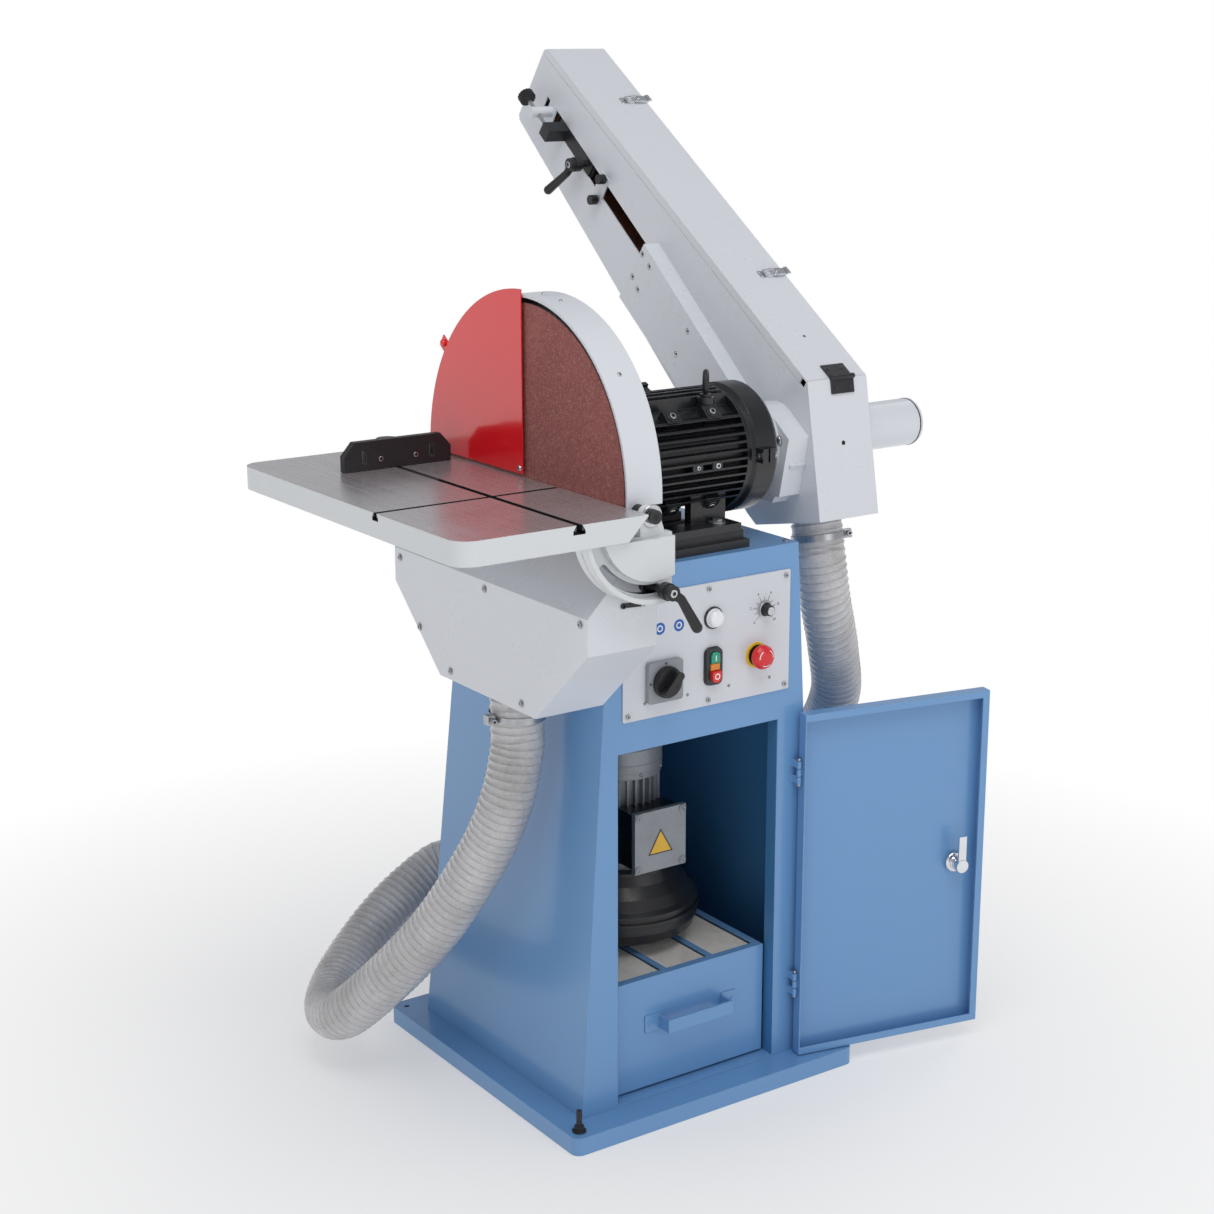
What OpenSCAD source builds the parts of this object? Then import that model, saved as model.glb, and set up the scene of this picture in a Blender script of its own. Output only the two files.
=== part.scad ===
// Belt and disc sander on a sheet-metal cabinet. Millimetres, +Z up.
// Origin: centre of the base tray's underside, on the floor.
// +X points to the belt arm, the disc faces -X, the control panel and door face -Y (the front).

/* [Cabinet] */
// Half width of the cabinet at its foot
cab_foot_half = 231.6; // [228:0.2:234]
// Half width of the cabinet at its top
cab_top_half = 177.8; // [176:0.2:180]
// Sheet thickness of the cabinet
sheet = 2.5; // [2:0.1:2.8]
// Height of the base tray
tray_h = 29; // [27:0.5:29]
// Width of the base tray along X
tray_x = 555; // [540:1:570]
// Depth of the base tray along Y
tray_y = 579.4; // [572:0.2:590]

/* [Disc] */
// Radius of the sanding disc
disc_r = 250; // [240:1:252]
// Thickness of the disc plate
disc_t = 12; // [10:0.5:13]

/* [Belt arm] */
// Rest angle of the belt arm above horizontal, degrees
arm_angle = 34.35; // [30:0.05:40]
// Width of the belt arm housing
arm_w = 121; // [119:0.5:124]
// Radius of the drive drum
drum_r = 86; // [84:0.5:86]
// Width of the belt
belt_w = 100; // [90:1:102]

/* [Table] */
// Length of the table along Y
table_len = 648.5; // [640:0.5:656]
// Thickness of the table
table_t = 35; // [32:0.5:36]
// Width of the mitre slot
slot_w = 9.5; // [9:0.5:11]

/* [Door] */
// Angle the door stands open, degrees
door_open = 168.5; // [160:0.5:170]
// Width of the door
door_w = 340; // [338:1:344]

/* [Hidden] */
$fn = 64;

axis_y = -112.2;        // motor axis
axis_z = 1030;
shaft_r = 16;
foot_x = 257;           // levelling feet, from the centre
foot_y = 267;
cab_front = -238.9;     // front face, Y
cab_top = 893;
cab_lean = 64.2;        // how far the back leans in, foot to top
hinge_x = 176.5;        // door hinge axis
hinge_y = -254;
hinge_zs = [135, 500];  // foot of each hinge
pin_bore = 2.06;
hose_r = 42.4;          // outer radius of the hoses
spigot_r = 38.5;        // hose spigots, outside and bore
spigot_bore = 36.5;

// colours used by several nodes
blue = [0.42, 0.57, 0.75];
pale_grey = [0.84, 0.86, 0.89];
black = [0.07, 0.07, 0.08];
soft_black = [0.08, 0.08, 0.09];
rubber = [0.09, 0.09, 0.1];
dark_steel = [0.1, 0.1, 0.11];
steel = [0.62, 0.63, 0.65];
cast_grey = [0.5, 0.51, 0.53];
hose_grey = [0.72, 0.71, 0.69];

// ---------- helpers ----------
// 2D shape (y, z) pushed along X
module along_x(x0, x1) {
  translate([x0, 0, 0]) rotate([90, 0, 90]) linear_extrude(x1 - x0) children();
}
// 2D shape (x, z) pushed along Y
module along_y(y0, y1) {
  translate([0, y1, 0]) rotate([90, 0, 0]) linear_extrude(y1 - y0) children();
}
module rod_x(r, x0, x1) { translate([x0, 0, 0]) rotate([0, 90, 0]) cylinder(r = r, h = x1 - x0); }
module rod_y(r, y0, y1) { translate([0, y0, 0]) rotate([-90, 0, 0]) cylinder(r = r, h = y1 - y0); }
// coaxial rods along Y, each [radius, y0, y1]
module rods_y(rods) { for (rod = rods) rod_y(rod[0], rod[1], rod[2]); }
// turned about X; profile points are (radius, -x)
module turn_x() { rotate([0, 90, 0]) rotate_extrude() children(); }
// turned about Y; profile points are (radius, -y)
module turn_y() { rotate([90, 0, 0]) rotate_extrude() children(); }
// box from corner to corner
module box(low, high) { translate(low) cube(high - low); }
module round_rect(w, h, r) {
  square([w - 2 * r, h], center = true);
  square([w, h - 2 * r], center = true);
  for (i = [-1, 1], j = [-1, 1]) translate([i * (w / 2 - r), j * (h / 2 - r)]) circle(r);
}
// ring sector between two radii and two angles (span under 180)
module sector(r0, r1, from, to) {
  reach = r1 * 1.6;
  difference() {
    circle(r1);
    circle(r0);
    rotate(from) translate([-reach, -2 * reach]) square(2 * reach);
    rotate(to) translate([-reach, 0]) square(2 * reach);
  }
}
module on_axis() { translate([0, axis_y, axis_z]) children(); }
// the belt arm's frame: y runs up the arm, z square to it
module in_arm() { on_axis() rotate([arm_angle, 0, 0]) children(); }
// the four motor foot bolts, about an axis at y
module at_foot_bolts(y, z) {
  for (i = [-1, 1], j = [-1, 1]) translate([i * 70 - 16, y + j * 80, z]) children();
}

// ---------- base and cabinet ----------
module base_tray() color(blue) difference() {
  linear_extrude(tray_h) round_rect(tray_x, tray_y, 15);
  translate([0, 0, -1]) linear_extrude(tray_h - 2) round_rect(tray_x - 6, tray_y - 6, 12);
  for (i = [-1, 1], j = [-1, 1]) translate([i * foot_x, j * foot_y, 0]) cylinder(r = 4.9, h = 60);
}

module levelling_feet() color(rubber)
  for (i = [-1, 1], j = [-1, 1]) translate([i * foot_x, j * foot_y, 0]) {
    // only the front left foot's stud stands proud, with a washer and nut
    proud = i < 0 && j < 0;
    cylinder(r = 16, h = 5);
    cylinder(r = 4.4, h = proud ? 64 : 26);
    if (proud) {
      translate([0, 0, tray_h]) cylinder(r = 11, h = 2.5);
      translate([0, 0, tray_h + 2.5]) cylinder(r = 8.4, h = 7, $fn = 6);
    }
  }

// tapering cabinet body, drawn in by inset, between two heights
function rise(z) = (z - tray_h) / (cab_top - tray_h);
function cab_half(z, inset) = cab_foot_half - inset - (cab_foot_half - cab_top_half) * rise(z);
function cab_back(z, inset) = -cab_front - inset - cab_lean * rise(z);
module cab_solid(inset, z0, z1) intersection() {
  along_y(cab_front + inset, -cab_front - inset)
    polygon([for (p = [[-1, z0], [1, z0], [1, z1], [-1, z1]]) [p[0] * cab_half(p[1], inset), p[1]]]);
  along_x(-260, 260) polygon([[cab_front + inset, z0], [cab_back(z0, inset), z0],
    [cab_back(z1, inset), z1], [cab_front + inset, z1]]);
}

hose_z = 250;           // height of the rear hose spigots
hose_x = 112;           // half spacing of the rear hose spigots
module at_rear_spigots(y) {
  for (s = [-1, 1]) translate([s * hose_x, y, hose_z]) children();
}

module cabinet() color(blue) {
  difference() {
    union() {
      difference() {
        cab_solid(0, tray_h, cab_top);
        cab_solid(sheet, tray_h + sheet, cab_top - sheet);
      }
      // shelf above the door opening
      intersection() {
        cab_solid(1, tray_h, cab_top);
        box([-260, -260, 628], [260, 260, 631]);
      }
      // cheeks of the door opening
      for (x = [-167.2, 143.2]) box([x, cab_front + 1, 31], [x + 2.5, -214, 612]);
      at_rear_spigots(0) rod_y(spigot_r, 221, 262);
    }
    // openings behind the door and behind the control panel
    box([-164.7, cab_front - 5, 31.5], [143.2, cab_front + 4, 610.4]);
    box([-140, cab_front - 5, 672], [147, cab_front + 4, 841]);
    at_rear_spigots(0) rod_y(spigot_bore, 200, 270);
    at_foot_bolts(axis_y, cab_top - 10) cylinder(r = 6.5, h = 20);
    for (spot = panel_screws) at_panel(spot) rod_y(2.2, -1, 8);
    // notch for the lock's cam
    box([-170, cab_front + 2.4, 300], [-163, cab_front + 12, 340]);
  }
  // hinge knuckles
  for (z = hinge_zs, s = [0, 26]) difference() {
    union() {
      translate([hinge_x, hinge_y, z + s]) cylinder(r = 4.2, h = 12);
      box([hinge_x - 2, hinge_y, z + s], [hinge_x + 2, cab_front + 1, z + s + 12]);
    }
    translate([hinge_x, hinge_y, z + s - 1]) cylinder(r = pin_bore, h = 14);
  }
}

module door_hinge_pins() color([0.6, 0.62, 0.65])
  for (z = hinge_zs) translate([hinge_x, hinge_y, z - 2]) {
    translate([0, 0, -1]) cylinder(r = 3.4, h = 2.9);
    cylinder(r = 2, h = 42);
  }

// ---------- controls ----------
panel_t = 2.5;
panel_face = cab_front - panel_t;
panel_x = [-157, 161];
panel_z = [659.3, 853];
// places on the panel, [x, z]
lamp_at = [10.3, 797.8];
speed_at = [110.2, 796.1];
estop_at = [94.5, 725.4];
switch_at = [-84, 715];
buttons_at = [9.4, 721.8];
button_rise = 14;       // start above, stop below the centre of the pair
start_at = buttons_at + [0, button_rise];
stop_at = buttons_at - [0, button_rise];
screw_inset = 9;
panel_screws = [
  for (x = [panel_x[0] + screw_inset, (panel_x[0] + panel_x[1]) / 2, panel_x[1] - screw_inset],
    z = [panel_z[0] + screw_inset, panel_z[1] - screw_inset]) [x, z]];
module at_panel(spot) { translate([spot[0], panel_face, spot[1]]) children(); }

module control_panel() color([0.86, 0.87, 0.88]) difference() {
  along_y(panel_face, cab_front)
    translate([(panel_x[0] + panel_x[1]) / 2, (panel_z[0] + panel_z[1]) / 2])
      round_rect(panel_x[1] - panel_x[0], panel_z[1] - panel_z[0], 3);
  // holes, [place, radius]
  for (hole = [[lamp_at, 8.2], [speed_at, 5], [estop_at, 11.2],
    [start_at, 9.5], [stop_at, 9.5], [switch_at, 8]]) at_panel(hole[0]) rod_y(hole[1], -1, 5);
  for (spot = panel_screws) at_panel(spot) rod_y(2.2, -1, 5);
}

// screws on the outer (-X) face of the disc housing, [y from the axis, z]
housing_screws = [[253, 862], [0, 864], [-253, 866], [196, 762], [104, 712], [-98, 712]];
module case_screws() color([0.72, 0.73, 0.75]) {
  for (spot = panel_screws) at_panel(spot) rods_y([[4, -2.4, 0], [2, -1, 6]]);
  // motor foot bolts
  at_foot_bolts(axis_y, 931) {
    cylinder(r = 8, h = 6, $fn = 6);
    translate([0, 0, -51]) cylinder(r = 5, h = 52);
  }
  // screws in the front corners of the cabinet top
  for (i = [-1, 1]) translate([i * 165, cab_front + 16, cab_top]) cylinder(r = 5, h = 2.5);
  for (p = housing_screws) translate([housing_x, axis_y + p[0], p[1]]) rod_x(4.2, -2.6, 0);
}

module control_bezels() {
  // emergency-stop collar
  color([0.93, 0.78, 0.1]) at_panel(estop_at) difference() {
    rods_y([[20, -3, 0], [11, -0.5, 22]]);
    rod_y(7.2, -4, 24);
  }
  // rotary switch plate
  color([0.55, 0.57, 0.6]) at_panel(switch_at) difference() {
    union() {
      along_y(-9, 0) round_rect(64, 64, 5);
      rod_y(7.8, -0.5, 30);
    }
    rod_y(5.1, -10, 32);
  }
  // double push button bezel
  color([0.2, 0.2, 0.22]) at_panel(buttons_at) difference() {
    union() {
      along_y(-7, 0) round_rect(30, 58, 9);
      for (s = [-1, 1]) translate([0, 0, button_rise * s]) rod_y(9.3, -0.5, 28);
    }
    for (s = [-1, 1]) translate([0, 0, button_rise * s]) rod_y(8.1, -8, 30);
  }
}

module pilot_lamp() color([0.93, 0.94, 0.95]) at_panel(lamp_at) turn_y()
  polygon([[0, -26], [8, -26], [8, 0], [15, 0], [15, 4], [13.4, 5], [13.2, 10], [11.5, 12.5],
    [7, 14], [0, 14.5]]);

module estop_button() color([0.82, 0.09, 0.08]) at_panel(estop_at) turn_y()
  polygon([[0, -14], [7, -14], [7, 9], [12, 10], [18, 12], [19.5, 16], [19, 21], [16, 25.5],
    [9, 28], [0, 28.6]]);

module start_button() color([0.1, 0.55, 0.3]) at_panel(start_at) rod_y(8, -9, 22);

module stop_button() color([0.8, 0.1, 0.08]) at_panel(stop_at) rod_y(8, -13, 20);

module speed_knob() color(soft_black) at_panel(speed_at) difference() {
  union() {
    rod_y(3.9, -4, 16);
    turn_y() polygon([[0, 2], [11, 2], [11, 4], [9, 5], [8.4, 16], [7.5, 17], [0, 17]]);
  }
  // grip flutes
  for (i = [0 : 11]) rotate([0, i * 30, 0]) translate([9.3, 0, 0]) rod_y(1.1, -18, -5.5);
}

module main_switch_knob() color(soft_black) at_panel(switch_at) {
  rods_y([[5, -14, 26], [23, -19, -9.6]]);
  rotate([0, 42, 0]) along_y(-33, -18) round_rect(13, 44, 6);
}

// ---------- main motor ----------
bearing_r = 31;
eye_x = 54;             // eyebolt, from the motor axis
eye_y = -48;

module fin_section() {
  circle(84);
  intersection() {
    circle(99);
    union() {
      for (i = [-5 : 5]) translate([-110, i * 12.4 - 1.6]) square([220, 3.2]);
      for (i = [-3 : 3]) translate([i * 12.4 - 1.6, 40]) square([3.2, 70]);
    }
  }
}

module motor_frame() color(black) on_axis() difference() {
  union() {
    along_x(-168, 100) fin_section();
    // screw pads on the corners of the frame
    for (x = [-26.5, 48], turn = [45, 135, 225, 315])
      translate([x, 0, 0]) rotate([turn, 0, 0]) translate([-13, 78, -12]) cube([26, 24, 24]);
    // eyebolt boss
    translate([eye_x, eye_y, 60]) cylinder(r = 13, h = 31);
    // feet and their webs
    for (s = [-1, 1]) translate([-116, s * 80 - 22, -111]) cube([200, 44, 12]);
    for (s = [-1, 1], x = [-112, 12]) translate([x, s * 61 - 8, -105]) cube([66, 16, 60]);
  }
  rod_x(52, -170, 102);
  at_foot_bolts(0, -115) cylinder(r = 5.4, h = 22);
  translate([eye_x, eye_y, 64]) cylinder(r = 4.1, h = 40);
}

module motor_shields() color(soft_black) on_axis() {
  // disc end
  difference() {
    turn_x() polygon([[30, -197.9], [72, -197.9], [72, -178], [92, -176], [96, -168],
      [52, -168], [52, -166], [44, -166], [44, -150], [30, -150]]);
    rod_x(bearing_r + 0.02, -172, -149);
  }
  // belt end, with two lugs
  difference() {
    union() {
      turn_x() polygon([[30, 84], [44, 84], [44, 100], [96, 100], [96, 108], [102, 114],
        [102, 150], [97, 157], [60, 158], [30, 158]]);
      for (x = [112, 126]) translate([x, -118, -8]) cube([10, 20, 22]);
    }
    rod_x(bearing_r + 0.02, 83, 106);
  }
}

module motor_bearings() color([0.7, 0.71, 0.73]) on_axis() for (x = [-171.5, 85]) difference() {
  rod_x(bearing_r, x, x + 20);
  rod_x(shaft_r + 0.02, x - 1, x + 21);
}

module eyebolt() color(dark_steel) translate([eye_x, axis_y + eye_y, axis_z]) {
  translate([0, 0, 68]) cylinder(r = 4, h = 30);
  translate([0, 0, 91.1]) cylinder(r = 9, h = 5);
  translate([0, 0, 114]) rotate([0, 0, 50]) rotate([90, 0, 0])
    rotate_extrude() translate([15, 0]) circle(4.6);
}

module terminal_box() color(black) on_axis() rotate([-66, 0, 0]) difference() {
  union() {
    box([-60, -40, 99.5], [50, 62, 128]);
    box([-63, -43, 128], [53, 65, 136]);
    // cable glands
    for (y = [-18, 24]) translate([0, y, 116]) {
      rod_x(9.5, 49, 66);
      rotate([0, 90, 0]) translate([0, 0, 66]) cylinder(r = 12, h = 9, $fn = 6);
    }
  }
  box([-56, -36, 98], [40, 58, 126]);
}

module motor_rail() color(black) difference() {
  union() {
    for (s = [-1, 1]) {
      rail_y = axis_y + s * 80;
      box([-128, rail_y - 29, cab_top], [95, rail_y + 29, 906]);
      box([-122, rail_y - 20, 905.5], [90, rail_y + 20, 919]);
    }
    box([-110, axis_y - 60, cab_top], [80, axis_y + 60, 899]);
  }
  at_foot_bolts(axis_y, cab_top - 5) cylinder(r = 5.4, h = 40);
}

// ---------- disc side ----------
disc_face = -239.6;     // working face of the disc, X
abrasive_t = 1.6;
plate_face = disc_face + abrasive_t;
plate_back = plate_face + disc_t;
guard_in = disc_r + 8;  // band around the disc, inside and outside
guard_r = disc_r + 12;
seam_z = 1022.5;        // seam between the upper band and the lower housing
housing_x = -316;       // outer face of the lower housing
housing_back = -198;
housing_sheet = 2.5;
disc_spigot_x = -262;

module motor_shaft() color(steel) on_axis() {
  rod_x(shaft_r, -233, 494);
  rod_x(46, -140, 76);
  rod_x(20, -236, -232.95);
}

module disc_plate() color([0.55, 0.56, 0.58]) on_axis() difference() {
  union() {
    rod_x(disc_r, plate_face, plate_back);
    rod_x(42, plate_back - 0.5, -203);
  }
  rod_x(shaft_r, -234, -200);
  rod_x(20.5, -240, -232.9);
}

module abrasive_disc() color([0.45, 0.25, 0.24]) on_axis() rod_x(disc_r, disc_face, plate_face);

module disc_guard() color(pale_grey) difference() {
  on_axis() difference() {
    union() {
      difference() {
        rod_x(guard_r, -243, -183);
        rod_x(guard_in, -244, -182);
      }
      rod_x(guard_in + 1, -201, -198.5);
    }
    rod_x(60, -210, -180);
  }
  box([-300, -500, 700], [0, 300, seam_z]);
}

// lower housing seen along X, drawn in by inset
module housing_outline(inset) {
  wide = 270 - inset;
  top = 258 - inset;
  foot = 136 - inset * 0.6;
  polygon([[axis_y - wide, 822 + inset * 0.3], [axis_y - foot, 698 + inset],
    [axis_y + foot, 698 + inset], [axis_y + wide, 822 + inset * 0.3],
    [axis_y + wide, 925], [axis_y + top, 945], [axis_y - top, 945], [axis_y - wide, 925]]);
}
// its side view along Y, with the sloping top
module housing_side(inset) polygon([[housing_x + inset, 690], [housing_x + inset, 876 - inset * 0.4],
  [-248 + inset * 0.6, 945 - inset], [-195.5, 945 - inset], [-195.5, 690]]);
module housing_solid(inset) intersection() {
  along_x(housing_x + inset, housing_back - inset) housing_outline(inset);
  along_y(-500, 300) housing_side(inset);
}

module disc_housing() color(pale_grey) difference() {
  union() {
    difference() {
      housing_solid(0);
      housing_solid(housing_sheet);
    }
    // lower half of the band, above the box
    intersection() {
      on_axis() difference() {
        rod_x(guard_r, -243, -195.5);
        rod_x(guard_in, -244, -190);
      }
      box([-300, -500, 943], [0, 300, seam_z]);
    }
    // back plate behind the disc
    intersection() {
      on_axis() rod_x(guard_r - 1, housing_back - housing_sheet, housing_back);
      box([-300, -500, 930], [0, 300, seam_z]);
    }
    // outlet spigot
    translate([disc_spigot_x, axis_y, 640]) cylinder(r = spigot_r, h = 59);
  }
  on_axis() rod_x(60, -210, -180);
  // mouth for the disc in the sloping top
  intersection() {
    on_axis() rod_x(guard_in, -246, -200.6);
    box([-247, -500, 900], [-200.6, 300, 960]);
  }
  translate([disc_spigot_x, axis_y, 630]) cylinder(r = spigot_bore, h = 80);
}

module red_guard() color([0.8, 0.06, 0.1]) difference() {
  union() {
    // quarter of a plate, above and behind the disc's centre
    intersection() {
      on_axis() rod_x(270, -247, -245);
      box([-250, axis_y, 1028], [-240, axis_y + 300, 1330]);
    }
    // tab, and feet against the band
    on_axis() rotate([37, 0, 0]) translate([-247, 262, -10]) cube([2, 24, 20]);
    for (turn = [37, 78])
      on_axis() rotate([turn, 0, 0]) translate([-246, 252, -7]) cube([2.9, 9, 14]);
  }
  on_axis() rotate([37, 0, 0]) translate([0, 278, 0]) rod_x(2.6, -250, -240);
  translate([0, axis_y + 8, 1036]) rod_x(2.6, -250, -240);
}

// ---------- table ----------
tilt_x = -226;          // table tilt axis
tilt_z = 1016;
arc_r = 103;            // arc slot of the trunnions, and its end angles
arc_from = -142;
arc_to = -85.3;         // the clamp studs stand at this end
stud_x = tilt_x + arc_r * cos(arc_to);
stud_z = tilt_z + arc_r * sin(arc_to);
table_x0 = -544.9;
table_x1 = -245.5;
table_y0 = -427.7;
table_y1 = table_y0 + table_len;
table_z = 1024.1;       // working surface
mitre_x = -358.4;       // mitre slot along Y
cross_y = -204.6;       // cross slot along X

module tilt_studs() color([0.12, 0.12, 0.13]) {
  // pivot bosses, pins and heads, front then rear
  translate([tilt_x, 0, tilt_z]) rods_y([
    [11, -388, -374.2], [6, -413, -380], [10, -419, -412.5],
    [11, 149.8, 166], [6, 160, 207], [10, 206.5, 213]]);
  // clamp studs
  translate([stud_x, 0, stud_z])
    rods_y([[12, -391, -382.4], [5.9, -430, -384], [12, 158.2, 167], [5.9, 160, 216]]);
}

module table_top() color([0.62, 0.63, 0.64]) difference() {
  // plate, rounded at the corners away from the disc
  translate([0, 0, table_z - table_t]) linear_extrude(table_t) {
    translate([table_x0 + 30, table_y0]) square([table_x1 - table_x0 - 30, table_len]);
    translate([table_x0, table_y0 + 30]) square([40, table_len - 60]);
    for (y = [table_y0 + 30, table_y1 - 30]) translate([table_x0 + 30, y]) circle(30);
  }
  // hollow underside between the ribs
  for (x = [[table_x0 + 12, mitre_x - 18], [mitre_x + 18, -296]],
    y = [[table_y0 + 50, cross_y - 14], [cross_y + 14, -20], [-4, table_y1 - 66]])
    box([x[0], y[0], table_z - table_t - 1], [x[1], y[1], table_z - 14]);
  // undercut beside the disc so the table can tilt
  along_y(table_y0 - 1, table_y1 + 1) polygon([
    [table_x1 + 1, table_z - 2], [table_x1 - 0.5, table_z - 3.1],
    [table_x1 - 32.5, table_z - table_t - 0.1], [table_x1 - 32.5, table_z - table_t - 5],
    [table_x1 + 1, table_z - table_t - 5]]);
  // T slots: [half width, floor, ceiling], heights from the surface
  for (cut = [[slot_w / 2, -9, 1], [slot_w / 2 + 5, -13, -8]])
    box([mitre_x - cut[0], table_y0 - 1, table_z + cut[1]],
      [mitre_x + cut[0], table_y1 + 1, table_z + cut[2]]);
  for (cut = [[4, -6, 1], [8, -11, -5.9]])
    box([table_x0 - 1, cross_y - cut[0], table_z + cut[1]],
      [table_x1 + 1, cross_y + cut[0], table_z + cut[2]]);
}

// trunnion drawn about the tilt axis
module trunnion_web() difference() {
  union() {
    intersection() {
      circle(122);
      translate([-130, -130]) square([165, 104]);
    }
    polygon([[-139, -27], [-113, -33], [-100, -50], [-80, -60], [-40, -27]]);
    polygon([[-13, 3], [13, 3], [34.6, -60], [34.6, -110], [-40, -90], [-60, -28]]);
    circle(14);
  }
  circle(6.06);
  // arc slot, clear of the stud at both ends
  sector(96.5, 109.5, arc_from, arc_to);
  for (turn = [arc_from, arc_to]) rotate(turn) translate([arc_r, 0]) circle(6.2);
  translate([36, -130]) square([100, 140]);
}
module trunnion_boss() difference() {
  intersection() {
    circle(90);
    translate([-132, -132]) square([163.6, 103.1]);
  }
  circle(30);
}
module trunnion_rim() difference() {
  intersection() {
    circle(121.4);
    translate([-131, -131]) square([163.2, 103.6]);
  }
  circle(113.8);
}
// Y spans of the front and rear trunnions: web, clearance cut, boss, rim
trunnion_spans = [
  [[-408, -393], [-410, -390], [-420, -407], [-424, -407]],
  [[169, 184], [168, 190], [183, 196], [183, 200]]];
module table_trunnions() color(pale_grey) translate([tilt_x, 0, tilt_z])
  for (span = trunnion_spans) {
    difference() {
      along_y(span[0][0], span[0][1]) trunnion_web();
      along_y(span[1][0], span[1][1]) translate([-200, -27]) square([180.6, 60]);
    }
    along_y(span[2][0], span[2][1]) trunnion_boss();
    along_y(span[3][0], span[3][1]) trunnion_rim();
  }

// clamp lever: bored hub along Y with a cranked arm, outwards is -Y
module lever(reach) difference() {
  union() {
    rods_y([[11, -24, 0], [12.5, -14, -2]]);
    hull() {
      translate([0, -16, 0]) sphere(8, $fn = 24);
      translate([14, -22, -10]) sphere(6.5, $fn = 24);
    }
    hull() {
      translate([14, -22, -10]) sphere(6.5, $fn = 24);
      translate([reach * 0.55, -32, -reach * 0.83]) sphere(8, $fn = 24);
    }
  }
  rod_y(6, -19, 1);
}

module tilt_lever_front() color(black) translate([stud_x, -425, stud_z]) lever(62);

module tilt_lever_rear() color(black)
  translate([stud_x, 201.2, stud_z]) mirror([0, 1, 0]) lever(62);

// ---------- mitre gauge ----------
gauge_y = 96;           // the gauge's rest position along the slot
module at_gauge(z) { translate([mitre_x, gauge_y, table_z + z]) children(); }

module mitre_bar() color([0.3, 0.3, 0.32]) difference() {
  union() {
    // T-section bar: [half width, bottom, top], heights from the table surface
    for (part = [[slot_w / 2 - 0.3, -9, -0.4], [slot_w / 2 + 4.6, -12.6, -8.4]])
      box([mitre_x - part[0], gauge_y - 150, table_z + part[1]],
        [mitre_x + part[0], gauge_y + 120, table_z + part[2]]);
    at_gauge(-5) cylinder(r = 4.2, h = 10);
    at_gauge(0.3) cylinder(r = 5.9, h = 8.5);
  }
  at_gauge(-9) cylinder(r = 3.2, h = 30);
}

module mitre_head() color(soft_black) at_gauge(0.6) difference() {
  union() {
    // half-round protractor base
    intersection() {
      cylinder(r = 62, h = 8);
      box([-70, -22, -1], [70, 70, 20]);
    }
    // fence with sloping ends
    along_y(-34, -22) polygon([[-92, 0], [92, 0], [92, 24], [74, 44], [-74, 44], [-92, 24]]);
    // ribs behind the fence
    for (x = [-30, 30]) box([x - 4, -22, 0], [x + 4, 14, 22]);
  }
  translate([0, 0, -1]) cylinder(r = 6.1, h = 12);
  for (x = [-58, 58]) translate([x, 0, 20]) along_y(-40, -20) round_rect(7, 22, 3.4);
}

module mitre_knob() color(black) at_gauge(0) {
  cylinder(r = 3.1, h = 12, $fn = 32);
  translate([0, 0, 9.2]) difference() {
    rotate_extrude()
      polygon([[0, 0], [10, 0], [10, 8], [17, 12], [19, 16], [19, 26], [16, 30], [0, 31]]);
    for (i = [0 : 7]) rotate([0, 0, i * 45]) translate([20.4, 0, 11]) cylinder(r = 3.4, h = 30);
  }
}

// ---------- belt arm ----------
arm_near = 231;         // side facing the motor, X
arm_far = arm_near + arm_w;
arm_mid = (arm_near + arm_far) / 2;
arm_sheet = 2.5;
idler = [757, 40];      // idler axis in the arm's own plane
idler_r = drum_r / 2;
slot_slope = 3.9;       // slope of the tension slot, degrees
tension_x = 200;        // tension screw
spigot_turn = 134.04;   // spigot direction from the arm's z
spigot_shift = 6;       // spigot's sideways offset from the motor axis

// housing outline in the arm's plane, drawn in by inset
module arm_outline(inset) polygon([
  [-5.7 + inset * 0.41, 126.4 - inset], [880 - inset, 126.4 - inset],
  [888 - inset, 119 - inset * 0.5], [894.2 - inset, -22 + inset * 0.4],
  [888 - inset, -30 + inset], [-18.7 - inset * 0.1, -149 + inset * 1.03],
  [-45.9 + inset * 0.3, -148.7 + inset * 1.1], [-159.7 + inset * 1.42, -31.1 + inset * 0.05]]);
module arm_inside() along_x(arm_near + arm_sheet, arm_far - arm_sheet) arm_outline(arm_sheet);
// height of the tension slot's centre line at y along the arm
function slot_mid(y) = idler[1] + (y - idler[0]) * tan(slot_slope);
module slot_piece(y0, y1, half) polygon([[y0, slot_mid(y0) - half], [y1, slot_mid(y1) - half],
  [y1, slot_mid(y1) + half], [y0, slot_mid(y0) + half]]);
// the idler axis, turned to the slot's slope
module along_slot(x = 0) {
  translate([x, idler[0], idler[1]]) rotate([slot_slope, 0, 0]) children();
}
module at_arm_spigot(out) {
  translate([arm_mid, 0, 0]) rotate([spigot_turn, 0, 0]) translate([0, spigot_shift, out])
    children();
}

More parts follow.
